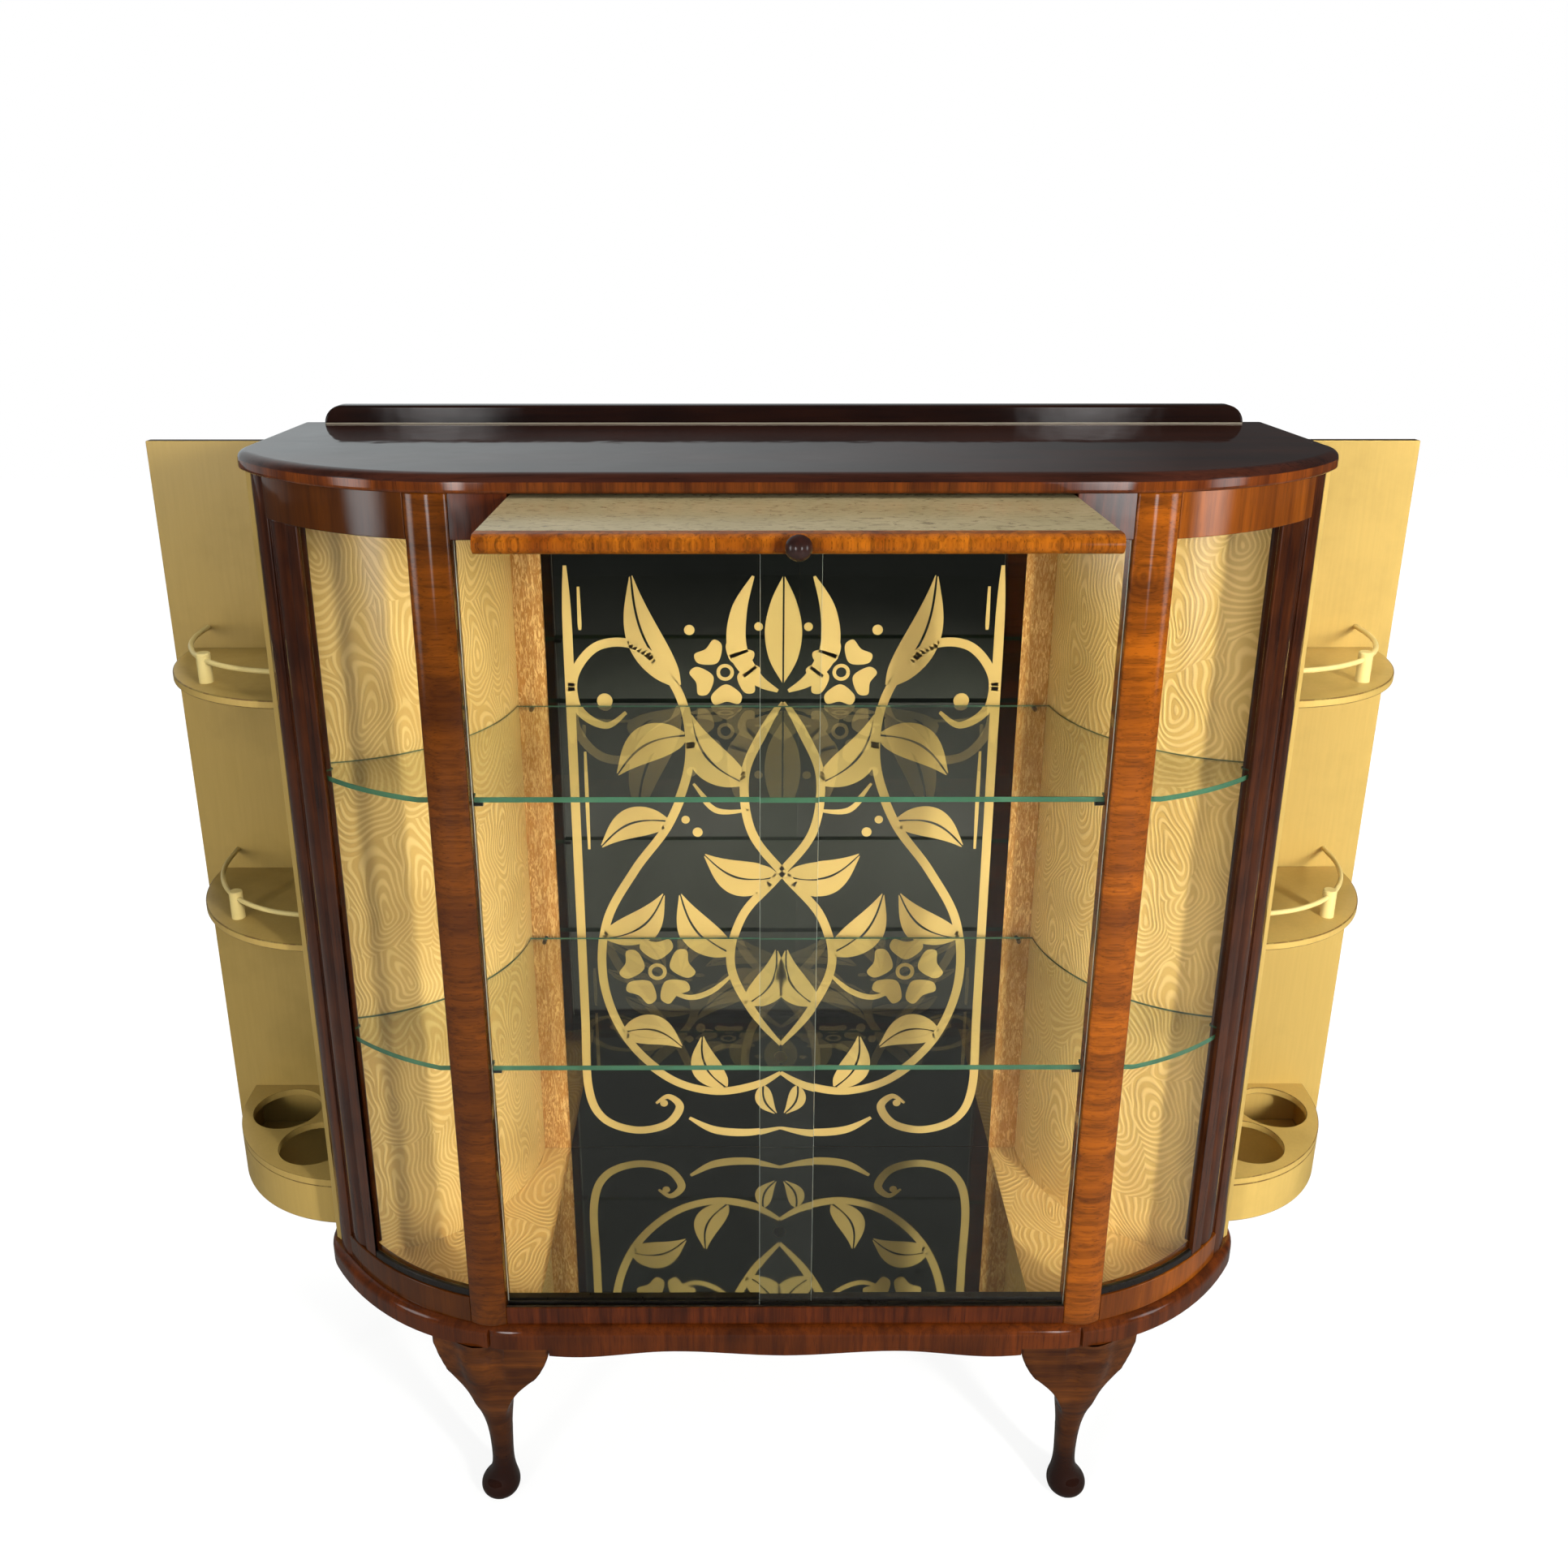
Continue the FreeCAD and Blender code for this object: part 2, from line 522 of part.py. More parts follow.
def inside_plan(front_y, radius, back_y, gap, z0, z1):
    """Plan of the display interior, clear of columns, posts and curved walls by a gap."""
    start = math.degrees(math.acos((BOW_Y - front_y) / radius))
    edges = [line(Vector(0, front_y, z0), polar(radius, start, z0)),
             arc(polar(radius, start, z0), polar(radius, (start + FRIEZE_END) / 2, z0),
                 polar(radius, FRIEZE_END, z0)),
             line(polar(radius, FRIEZE_END, z0), Vector(polar(radius, FRIEZE_END).x, back_y, z0)),
             line(Vector(polar(radius, FRIEZE_END).x, back_y, z0), Vector(0, back_y, z0)),
             line(Vector(0, back_y, z0), Vector(0, front_y, z0))]
    half = extruded(edges, Vector(0, 0, z1 - z0))
    column_back = polar(BOW_RADIUS - POST_DEPTH, BOW_START)
    rear_y = column_back.y + gap
    half = half.cut(upright([(COLUMN_INNER_X - gap, -RAIL_DEPTH), (COLUMN_OUTER_X + gap, -RAIL_DEPTH),
                             (COLUMN_OUTER_X + gap, COLUMN_SETBACK), (column_back.x + gap, rear_y),
                             (COLUMN_INNER_X - gap, rear_y)], z0, z1))
    half = half.cut(sector(BOW_RADIUS - POST_DEPTH - gap, BOW_RADIUS + gap,
                           GLASS_END - math.degrees(gap / BOW_RADIUS), BOW_END, z0, z1))
    half = half.cut(Part.makeCylinder(WALL_RADIUS + gap, z1 - z0,
                                      Vector(WALL_CENTRE_X, MIRROR_BACK_Y, z0)))
    half = largest(half)
    return half.fuse(mirrored(half)).removeSplitter()


def floor_lining():
    """Covered floor of the display, with a loose sheet of mirror on it."""
    keep("floor_lining", inside_plan(RAIL_DEPTH, BOW_RADIUS - FRAME_DEPTH, MIRROR_BACK_Y - STRIP_THICK,
                                     FIT, BASE_TOP, FLOOR_TOP))
    half = MIRROR_HALF_WIDTH
    keep("floor_mirror", block(-half, half, RAIL_DEPTH, MIRROR_FACE_Y,
                               FLOOR_TOP, FLOOR_TOP + FLOOR_MIRROR_THICK))


def glass_shelves():
    """Two shelves that fill the display from column to wall, on short pegs."""
    pegs = []
    back_y = MIRROR_FACE_Y - SHELF_BACK_GAP
    for name, share in (("upper_glass_shelf", UPPER_SHELF_SHARE), ("lower_glass_shelf", LOWER_SHELF_SHARE)):
        top = BASE_TOP + share * BODY_HEIGHT
        keep(name, inside_plan(SHELF_FRONT_Y, GLASS_INNER - SHELF_GAP, back_y, SHELF_GAP,
                               top - SHELF_GLASS, top))
        peg_z = top - SHELF_GLASS - PEG_RADIUS
        front_y = SHELF_FRONT_Y + PEG_SEAT - PEG_RADIUS
        rear_x = (MIRROR_HALF_WIDTH + WALL_INNER_X) / 2
        rear_face = MIRROR_BACK_Y - STRIP_THICK
        for side in (1, -1):
            pegs.append(Part.makeCylinder(PEG_RADIUS, PEG_REACH,
                                          Vector(side * COLUMN_INNER_X, front_y, peg_z),
                                          Vector(-side, 0, 0)))
            pegs.append(Part.makeCylinder(PEG_RADIUS, SHELF_BACK_GAP + PEG_SEAT,
                                          Vector(side * rear_x, rear_face, peg_z), Vector(0, -1, 0)))
    keep("shelf_pegs", *pegs)


def serving_slide():
    """Slide drawn out from under the top: board, laminate, nosed lip, knob and stop."""
    lip_back = SLIDE_FRONT_Y + LIP_DEPTH
    half = SLIDE_HALF_WIDTH
    keep("slide_board", block(-half, half, lip_back, SLIDE_TAIL_Y, SLIDE_UNDER,
                              SLIDE_TOP - LAMINATE_THICK))
    keep("slide_laminate", block(-half, half, lip_back, SLIDE_TAIL_Y, SLIDE_TOP - LAMINATE_THICK,
                                 SLIDE_TOP))
    low, high = SLIDE_UNDER - LIP_LAP, SLIDE_TOP + LIP_LAP
    straight = SLIDE_FRONT_Y + LIP_NOSE
    section = [Vector(-half, lip_back, low), Vector(-half, straight, low),
               Vector(-half, straight, high), Vector(-half, lip_back, high)]
    nose = Vector(-half, SLIDE_FRONT_Y, (low + high) / 2)
    edges = [line(section[0], section[1]), arc(section[1], nose, section[2]),
             line(section[2], section[3]), line(section[3], section[0])]
    lip = extruded(edges, Vector(2 * half, 0, 0))
    keep("slide_lip", lip)
    keep("slide_knob", slide_knob((low + high) / 2).cut(lip))
    keep("slide_stop", block(-STOP_HALF_LENGTH, STOP_HALF_LENGTH, RAIL_DEPTH + FIT,
                             RAIL_DEPTH + FIT + STOP_DEPTH, SLIDE_UNDER - STOP_THICK, SLIDE_UNDER))


def slide_knob(z):
    """Turned round knob, a domed head on a short neck, on the middle of the lip."""
    root = SLIDE_FRONT_Y + LIP_NOSE
    tip = SLIDE_FRONT_Y - KNOB_DEPTH
    rim = SLIDE_FRONT_Y - KNOB_DEPTH * KNOB_RIM_SHARE
    neck = SLIDE_FRONT_Y - KNOB_DEPTH * KNOB_NECK_SHARE
    rise = rim - tip
    dome = (KNOB_RADIUS ** 2 + rise ** 2) / (2 * rise)
    half_turn = math.asin(KNOB_RADIUS / dome) / 2
    middle = Vector(0, tip + dome - dome * math.cos(half_turn), z + dome * math.sin(half_turn))
    edges = [line(Vector(0, root, z), Vector(0, root, z + KNOB_NECK_RADIUS)),
             line(Vector(0, root, z + KNOB_NECK_RADIUS), Vector(0, neck, z + KNOB_NECK_RADIUS)),
             line(Vector(0, neck, z + KNOB_NECK_RADIUS), Vector(0, rim, z + KNOB_RADIUS)),
             arc(Vector(0, rim, z + KNOB_RADIUS), middle, Vector(0, tip, z)),
             line(Vector(0, tip, z), Vector(0, root, z))]
    return Part.Face(Part.Wire(edges)).revolve(Vector(0, root, z), Vector(0, 1, 0), 360)


def slide_runners():
    """L-section runners under the top that carry the slide by its edges."""
    inner = SLIDE_HALF_WIDTH + SLIDE_SIDE_GAP
    ledge_top = SLIDE_UNDER - SLIDE_RUN_GAP
    ledge_under = ledge_top - RUNNER_LEDGE_THICK
    side = block(inner, inner + RUNNER_WIDTH, RAIL_DEPTH, RUNNER_REAR_Y, ledge_under, TOP_UNDER)
    ledge = block(inner - RUNNER_LEDGE, inner, RAIL_DEPTH, RUNNER_REAR_Y, ledge_under, ledge_top)
    runner = side.fuse(ledge).removeSplitter()
    keep("slide_runners", runner, mirrored(runner))


def wing_point(dx, dy, z=0.0):
    """Point of the open right wing, given from its hinge pin."""
    return Vector(PIN_X + dx, PIN_Y + dy, z)


def wing_plan(radius, inset, z0, z1):
    """Quarter-round board of the wing, inset all round from the size of its radius."""
    cx, cy = WING_SHELF_CENTRE
    near = WING_SHELF_START + inset
    rim = radius - inset
    drop = math.sqrt(rim ** 2 - (near - cx) ** 2)
    back = FIT
    middle = math.radians(45)
    edges = [line(wing_point(near, back, z0), wing_point(cx + rim, back, z0)),
             line(wing_point(cx + rim, back, z0), wing_point(cx + rim, cy, z0)),
             arc(wing_point(cx + rim, cy, z0),
                 wing_point(cx + rim * math.cos(middle), cy - rim * math.sin(middle), z0),
                 wing_point(near, cy - drop, z0)),
             line(wing_point(near, cy - drop, z0), wing_point(near, back, z0))]
    return extruded(edges, Vector(0, 0, z1 - z0))


def wing_rail(top):
    """Gallery rail of one wing shelf: a bent rod through a turned peg."""
    cx, cy = WING_SHELF_CENTRE
    rim = WING_SHELF_RADIUS - RAIL_INSET
    z = top + RAIL_HEIGHT
    near = WING_SHELF_START
    drop = math.sqrt(rim ** 2 - (near - cx) ** 2)
    middle = math.radians(45)
    bend = wing_point(cx + rim * math.cos(middle), cy - rim * math.sin(middle), z)
    path = Part.Wire([line(wing_point(cx + rim, FIT, z), wing_point(cx + rim, cy, z)),
                      arc(wing_point(cx + rim, cy, z), bend, wing_point(near, cy - drop, z))])
    ring = Part.Wire([Part.Circle(wing_point(cx + rim, FIT, z), Vector(0, 1, 0),
                                  RAIL_ROD_RADIUS).toShape()])
    rod = path.makePipeShell([ring], True, False)
    peg = Part.makeCylinder(RAIL_PEG_RADIUS, RAIL_PEG_HEIGHT, Vector(bend.x, bend.y, top))
    crown = [edge for edge in peg.Edges if edge.BoundBox.ZMin > top + RAIL_PEG_HEIGHT - FIT]
    peg = peg.makeChamfer(RAIL_PEG_ARRIS, crown)
    return rod, peg.cut(rod)


def wings():
    """Swing-out wings: panel, two railed shelves and a bottle rack."""
    panel = block(PIN_X + LEAF_BACK, PIN_X + LEAF_BACK + WING_WIDTH, PIN_Y + FIT,
                  PIN_Y + FIT + WING_THICK, WING_FOOT, WING_HEAD)
    keep_pair("wing_panel", panel)
    tops = [BASE_TOP + share * BODY_HEIGHT for share in WING_SHELF_HEIGHT_SHARES]
    keep_pair("wing_shelves", *[wing_plan(WING_SHELF_RADIUS, 0, top - WING_SHELF_THICK, top)
                                for top in tops])
    rails = []
    for top in tops:
        rails.extend(wing_rail(top))
    keep_pair("wing_rails", *rails)
    bottle_racks()


def bottle_racks():
    """Bored plate, bent skirt and floor at the foot of each wing."""
    plate_under = RACK_TOP - RACK_PLATE_THICK
    plate = wing_plan(RACK_RADIUS, 0, plate_under, RACK_TOP)
    cx, cy = WING_SHELF_CENTRE
    for across, forward in BOTTLE_HOLE_SHARES:
        middle = wing_point(cx + across * RACK_RADIUS, cy + forward * RACK_RADIUS)
        plate = plate.cut(Part.makeCylinder(BOTTLE_HOLE_RADIUS, RACK_TOP, middle))
    keep_pair("rack_plate", plate)
    skirt = wing_plan(RACK_RADIUS, 0, WING_FOOT, plate_under)
    hollow = wing_plan(RACK_RADIUS, RACK_WALL, WING_FOOT, plate_under)
    keep_pair("rack_skirt", skirt.cut(hollow))
    keep_pair("rack_floor", wing_plan(RACK_RADIUS, RACK_WALL, WING_FOOT, WING_FOOT + RACK_FLOOR_THICK))


def ring(z0, z1):
    """One knuckle of a hinge, bored for its pin."""
    outer = Part.makeCylinder(KNUCKLE_RADIUS, z1 - z0, wing_point(0, 0, z0))
    return outer.cut(Part.makeCylinder(PIN_RADIUS + PIN_PLAY, z1 - z0, wing_point(0, 0, z0)))


def wing_hinges():
    """Butt hinges across the rear edges: fixed leaves, wing leaves and their pins."""
    fixed, moving, pins = [], [], []
    third = HINGE_HEIGHT / 3
    bore_room = PIN_RADIUS + PIN_PLAY
    for share in HINGE_PLACE_SHARES:
        low = WING_FOOT + share * (WING_HEAD - WING_FOOT) - HINGE_HEIGHT / 2
        high = low + HINGE_HEIGHT
        bore = Part.makeCylinder(bore_room, 2 * HINGE_HEIGHT, wing_point(0, 0, low - third))
        notch = Part.makeCylinder(KNUCKLE_RADIUS + FIT, third, wing_point(0, 0, low + third))
        leaf = block(PIN_X - LEAF_WIDTH, PIN_X - FIT, BODY_DEPTH, BODY_DEPTH + LEAF_THICK, low, high)
        knuckles = ring(low, low + third - KNUCKLE_GAP).fuse(ring(high - third + KNUCKLE_GAP, high))
        fixed.append(leaf.cut(notch).cut(bore).fuse(knuckles).removeSplitter())
        wing_face = PIN_X + LEAF_BACK
        flap = block(wing_face - LEAF_THICK, wing_face, PIN_Y, PIN_Y + WING_THICK, low, high)
        gaps = [Part.makeCylinder(KNUCKLE_RADIUS + FIT, third + FIT, wing_point(0, 0, z))
                for z in (low - FIT, high - third)]
        middle = ring(low + third, high - third)
        moving.append(flap.cut(gaps[0]).cut(gaps[1]).cut(bore).fuse(middle).removeSplitter())
        pins.append(Part.makeCylinder(PIN_RADIUS, HINGE_HEIGHT, wing_point(0, 0, low)))
    keep("fixed_hinge_leaves", *(fixed + [mirrored(leaf) for leaf in fixed]))
    keep_pair("wing_hinge_leaves", *moving)
    keep("hinge_pins", *(pins + [mirrored(pin) for pin in pins]))


def front_apron():
    """Shaped apron under the front of the base, its lower edge a slow wave."""
    y = -BOARD_OVERHANG
    half = APRON_HALF_LENGTH
    low = LEG_HEIGHT - APRON_DROP
    points = [Vector(share * half, y, low + rise * APRON_WAVE)
              for share, rise in zip(APRON_WAVE_SHARES, APRON_RISE_SHARES)]
    curve = Part.BSplineCurve()
    curve.interpolate(points)
    ends = [Vector(side * half, y, LEG_HEIGHT) for side in (1, -1)]
    edges = [curve.toShape(), line(points[-1], ends[0]), line(ends[0], ends[1]),
             line(ends[1], points[0])]
    keep("front_apron", extruded(edges, Vector(0, APRON_DEPTH, 0)))


# Sections up a leg: height, outward and backward shift of the middle, half width, half depth.
# They are shares of the leg height, the foot radius and the foot, ankle or knee size.
FOOT_SECTION_SHARES = ((0.0, 0.0, 0.0, 0.66, 0.66), (0.02, 0.0, 0.0, 0.9, 0.9),
                       (0.054, 0.0, 0.0, 1.0, 1.0), (0.095, -0.06, 0.0, 0.88, 0.88))
SHANK_SECTION_SHARES = ((0.138, -0.17, 0.0, 1.2, 1.2), (0.2, -0.21, 0.0, 1.0, 1.0),
                        (0.31, -0.21, 0.0, 1.0, 1.0), (0.44, -0.17, 0.0, 1.16, 1.12))
KNEE_SECTION_SHARES = ((0.56, -0.04, 0.04, 0.645, 0.63), (0.635, 0.09, 0.09, 0.774, 0.78),
                       (0.71, 0.27, 0.18, 0.871, 0.89), (0.8, 0.4, 0.22, 0.935, 0.96),
                       (0.9, 0.49, 0.27, 0.968, 1.0), (1.0, 0.53, 0.27, 1.0, 1.0))


def oval(centre, half_x, half_y):
    """A closed level ring with its axes along X and Y."""
    if abs(half_x - half_y) < FIT / 100:
        return Part.Wire([Part.Circle(centre, Vector(0, 0, 1), half_x).toShape()])
    along = Vector(half_x, 0, 0)
    across = Vector(0, half_y, 0)
    if half_y > half_x:
        along, across = across, Vector(-half_x, 0, 0)
    return Part.Wire([Part.Ellipse(centre + along, centre + across, centre).toShape()])


def leg():
    """Short cabriole leg: pad foot, slim ankle and knee, with its foot on the origin."""
    stages = ((FOOT_SECTION_SHARES, FOOT_RADIUS, FOOT_RADIUS),
              (SHANK_SECTION_SHARES, ANKLE_RADIUS, ANKLE_RADIUS),
              (KNEE_SECTION_SHARES, KNEE_HALF_WIDTH, KNEE_HALF_DEPTH))
    rings = []
    for shares, half_width, half_depth in stages:
        for height, outward, backward, wide, deep in shares:
            centre = Vector(outward * FOOT_RADIUS, backward * FOOT_RADIUS, height * LEG_HEIGHT)
            rings.append(oval(centre, wide * half_width, deep * half_depth))
    return Part.makeLoft(rings, True, False)


def ear_blank(thick):
    """Bracket with a hollow lower edge, its root on the origin and its length along +X."""
    low = LEG_HEIGHT - EAR_HEIGHT
    points = [Vector(share * EAR_LENGTH, 0, low + rise * EAR_HEIGHT) for share, rise in EAR_EDGE_SHARES]
    curve = Part.BSplineCurve()
    curve.interpolate(points)
    top = [Vector(EAR_LENGTH, 0, LEG_HEIGHT), Vector(0, 0, LEG_HEIGHT)]
    return extruded([curve.toShape(), line(points[-1], top[0]), line(top[0], top[1]),
                     line(top[1], points[0])], Vector(0, thick, 0))


def bow_ear():
    """The bracket that follows the bowed edge of the base."""
    reach = BOW_RADIUS + BOARD_OVERHANG - EAR_SETBACK
    root = math.degrees(math.asin((LEG_FOOT_X + EAR_OUTER_ROOT - BOW_X) / reach))
    spread = math.degrees(EAR_LENGTH / reach)
    curved = sector(reach - EAR_THICK, reach, root, root + spread, LEG_HEIGHT - EAR_HEIGHT, LEG_HEIGHT)
    blank = ear_blank(3 * EAR_THICK).translated(Vector(0, -EAR_THICK, 0))
    blank.rotate(Vector(0, 0, 0), Vector(0, 0, 1), root + spread / 2)
    return curved.common(blank.translated(polar(reach, root)))


def legs():
    """Four short cabriole legs, with ears beside their knees along the edge of the base."""
    front = leg().translated(Vector(LEG_FOOT_X, LEG_FOOT_Y, 0))
    keep_pair("front_leg", front)
    rear = leg().translated(Vector(REAR_LEG_X, REAR_LEG_Y, 0))
    keep("rear_legs", rear, mirrored(rear))
    front_ear = mirrored(ear_blank(EAR_THICK))
    front_ear = front_ear.translated(Vector(LEG_FOOT_X - EAR_INNER_ROOT, EAR_SETBACK - BOARD_OVERHANG, 0))
    side_ear = ear_blank(EAR_THICK)
    side_ear.rotate(Vector(0, 0, 0), Vector(0, 0, 1), -90)
    side_x = SIDE_X + BOARD_OVERHANG - EAR_SETBACK - EAR_THICK
    side_ear = side_ear.translated(Vector(side_x, REAR_LEG_Y - EAR_INNER_ROOT, 0))
    ears = [largest(front_ear.cut(front)), largest(bow_ear().cut(front)), largest(side_ear.cut(rear))]
    keep("leg_ears", *(ears + [mirrored(piece) for piece in ears]))


def build():
    top_board()
    base_board()
    back_gallery()
    columns()
    post = side_posts()
    jamb_strips()
    rear_frame()
    centre_frieze()
    curved_rails()
    curved_glazing()
    front_rail()
    sliding_doors()
    curved_walls(post)
    display_back()
    floor_lining()
    glass_shelves()
    serving_slide()
    slide_runners()
    wings()
    wing_hinges()
    front_apron()
    legs()


build()
os.makedirs("parts", exist_ok=True)
for name, shape in PARTS.items():
    shape.exportStep("parts/" + name + ".step")
print(len(PARTS), "nodes written")
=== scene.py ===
"""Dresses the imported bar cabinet: polished walnut, bent glass, gold embossed lining, painted wings.

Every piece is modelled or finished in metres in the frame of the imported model, x to the right,
y towards the back and z up, and rides on the body that carries it.
"""

import json
import math

import bmesh
import bpy
from bpy.props import FloatProperty, FloatVectorProperty, PointerProperty
from mathutils import Matrix, Vector

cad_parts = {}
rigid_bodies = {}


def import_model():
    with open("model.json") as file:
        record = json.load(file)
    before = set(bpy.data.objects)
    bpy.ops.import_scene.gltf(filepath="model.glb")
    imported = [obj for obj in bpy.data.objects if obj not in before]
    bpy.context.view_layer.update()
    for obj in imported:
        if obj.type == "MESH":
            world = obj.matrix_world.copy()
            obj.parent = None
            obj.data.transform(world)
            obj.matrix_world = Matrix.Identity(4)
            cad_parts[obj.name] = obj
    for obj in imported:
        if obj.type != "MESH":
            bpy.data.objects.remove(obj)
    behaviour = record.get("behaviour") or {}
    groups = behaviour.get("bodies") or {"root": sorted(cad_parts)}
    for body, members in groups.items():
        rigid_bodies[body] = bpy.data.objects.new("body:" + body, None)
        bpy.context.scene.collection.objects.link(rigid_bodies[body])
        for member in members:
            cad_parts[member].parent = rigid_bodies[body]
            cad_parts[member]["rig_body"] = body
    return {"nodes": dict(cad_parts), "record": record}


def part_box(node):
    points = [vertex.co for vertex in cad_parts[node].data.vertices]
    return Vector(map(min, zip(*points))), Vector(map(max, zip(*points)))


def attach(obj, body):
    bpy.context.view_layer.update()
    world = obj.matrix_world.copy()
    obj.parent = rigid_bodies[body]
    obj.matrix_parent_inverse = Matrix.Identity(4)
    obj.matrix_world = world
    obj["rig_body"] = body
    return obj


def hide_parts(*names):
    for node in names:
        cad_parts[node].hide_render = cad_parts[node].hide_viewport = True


bl_info = {
    "name": "Bar cabinet",
    "version": (1, 0, 0),
    "blender": (4, 5, 0),
    "location": "3D View > Sidebar > Cabinet",
    "description": "Builds the finished look of a bow-ended bar cabinet around its packed model",
    "category": "Object",
}

MM = 0.001
SIDES = (("left", -1), ("right", 1))

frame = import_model()
NODES = frame["nodes"]
SLOTS = {row["node"]: row["material_slot"] for row in frame["record"]["subparts"]}
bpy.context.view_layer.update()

# where a finish goes from its painted shade on the left half to its painted light on the right one
PAINTED_LIGHT_SPAN = (-0.25, 0.25)

TOP_LOW, TOP_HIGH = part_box("top_board")
BASE_LOW, BASE_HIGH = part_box("base_board")
MIRROR_LOW, MIRROR_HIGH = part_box("back_mirror")
COLUMN_LOW, COLUMN_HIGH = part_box("right_column")
WALL_LOW, WALL_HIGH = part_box("right_curved_wall")
PANEL_LOW, PANEL_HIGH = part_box("right_wing_panel")
LIP_LOW, LIP_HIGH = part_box("slide_lip")
LEAF_LOW, LEAF_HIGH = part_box("fixed_hinge_leaves")
GALLERY_LOW, GALLERY_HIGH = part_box("back_gallery")
BACK_LOW, BACK_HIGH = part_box("back_panel")


def linear(code):
    """Linear colour of an sRGB hex value."""
    shares = [int(code[i:i + 2], 16) / 255 for i in (0, 2, 4)]
    return tuple(s / 12.92 if s <= 0.04045 else ((s + 0.055) / 1.055) ** 2.4 for s in shares) + (1.0,)


def colour(name, code, description):
    return FloatVectorProperty(name=name, description=description, default=linear(code),
                               size=4, min=0.0, max=1.0, subtype="COLOR")


def length(name, millimetres, description):
    return FloatProperty(name=name, description=description, default=millimetres * MM,
                         min=0.0, unit="LENGTH")


def power(name, watts, description):
    return FloatProperty(name=name, description=description, default=watts, min=0.0, unit="POWER")


class CabinetSizes(bpy.types.PropertyGroup):
    """Sizes of the details that the finishing adds."""
    arris: length("Arris", 0.8, "Rounding of the edges of polished wood")
    paint_arris: length("Painted arris", 1.2, "Rounding of the edges of painted board")
    glass_arris: length("Glass arris", 0.4, "Ground arris of the glass edges")
    leg_grid: length("Leg grid", 2.0, "Grid on which the legs and their ears are blended")
    ornament_thick: length("Ornament thickness", 0.3, "Thickness of the gold lines on the mirror")
    ornament_line: length("Ornament line", 10.5, "Usual width of a gold line on the mirror")
    screw_radius: length("Screw head radius", 2.7, "Radius of the heads of the hinge screws")
    lining_cell: length("Lining swirl", 82.0, "Size of one swirl of the embossed lining")
    lining_ridge: length("Lining ridge", 6.6, "Spacing of the ridges of the embossed lining")


class CabinetColours(bpy.types.PropertyGroup):
    """Colours of the finishes."""
    walnut_light: colour("Light walnut", "763C08", "Light figure of the polished walnut")
    walnut_mid: colour("Walnut", "4A2205", "Ground colour of the polished walnut")
    walnut_dark: colour("Dark walnut", "1A0903", "Dark streaks and stained parts")
    # painted highlight: ridges painted lighter than the ground, standing in for the side light they catch
    vinyl_ridge_highlight: colour("Lining ridge", "E2BC76", "Ridges of the gold lining")
    vinyl_body: colour("Lining", "CCA25A", "Ground of the gold lining")
    vinyl_groove: colour("Lining groove", "A9803C", "Soiled grooves of the gold lining")
    cream: colour("Cream paint", "BE9E56", "Paint of the wings")
    cream_rail: colour("Light cream paint", "D8C27E", "Paint of the shelf rails")
    cream_worn: colour("Worn cream", "8E7638", "Rubbed and soiled paint")
    gilding: colour("Gilding", "E6C279", "Gold lines on the mirror")
    # partly aged silver, partly painted shade: the mirror is tinted dark as if mirroring a dim room
    silvering_painted_dark: colour("Silvering", "A4A29A", "Silver of the aged back mirror")
    glass_edge: colour("Glass edge", "1E4632", "Cut edges of the glass")
    laminate: colour("Laminate", "94855E", "Sheet on the slide")
    brass: colour("Brass", "B08A46", "Hinges and screws")


class CabinetStudio(bpy.types.PropertyGroup):
    """Lamps and surroundings."""
    key_power: power("Key lamp", 290.0, "Power of the soft lamp to the front right")
    fill_power: power("Fill lamp", 105.0, "Power of the soft lamp to the front left")
    window_power: power("Windows", 18.0, "Power of the two panels that the polish mirrors")
    side_power: power("Side lamps", 16.0, "Power of the two broad side lamps")
    back_power: power("Back lamps", 55.0, "Power of the two lamps behind the cabinet")
    top_power: power("Overhead lamp", 100.0, "Power of the lamp overhead")
    surround: FloatProperty(name="Surround", description="Strength of the light of the surroundings",
                            default=0.45, min=0.0)


def colours():
    return bpy.context.scene.cabinet_colours


def sizes():
    return bpy.context.scene.cabinet_sizes


def feed(tree, node, inputs):
    """Set or link inputs, by name or in order; a node stands for its first output, a text for a colour."""
    pairs = inputs.items() if isinstance(inputs, dict) else enumerate(inputs)
    for socket, value in pairs:
        if isinstance(value, str):
            value = linear(value)
        if isinstance(value, bpy.types.Node):
            value = next(output for output in value.outputs if output.enabled)
        if isinstance(value, bpy.types.NodeSocket):
            tree.links.new(value, node.inputs[socket])
        else:
            node.inputs[socket].default_value = value
    return node


def add(tree, kind, inputs=(), **settings):
    """Add a node with its settings, and set or link its inputs."""
    node = tree.nodes.new("ShaderNode" + kind)
    for name, value in settings.items():
        setattr(node, name, value)
    return feed(tree, node, inputs)


def surface(name, place="Object", **sockets):
    """A material with one Principled shader, and the coordinates that its pattern lies on."""
    material = bpy.data.materials.new(name)
    material.use_nodes = True
    tree = material.node_tree
    tree.nodes.clear()
    shader = add(tree, "BsdfPrincipled", {key.replace("_", " "): value for key, value in sockets.items()})
    add(tree, "OutputMaterial", {"Surface": shader})
    return material, tree, add(tree, "TexCoord").outputs[place]


def node_of(material, kind):
    return next(node for node in material.node_tree.nodes if node.type == kind)


def finished(material, inputs):
    """The material, with inputs of its shader linked."""
    feed(material.node_tree, node_of(material, "BSDF_PRINCIPLED"), inputs)
    return material


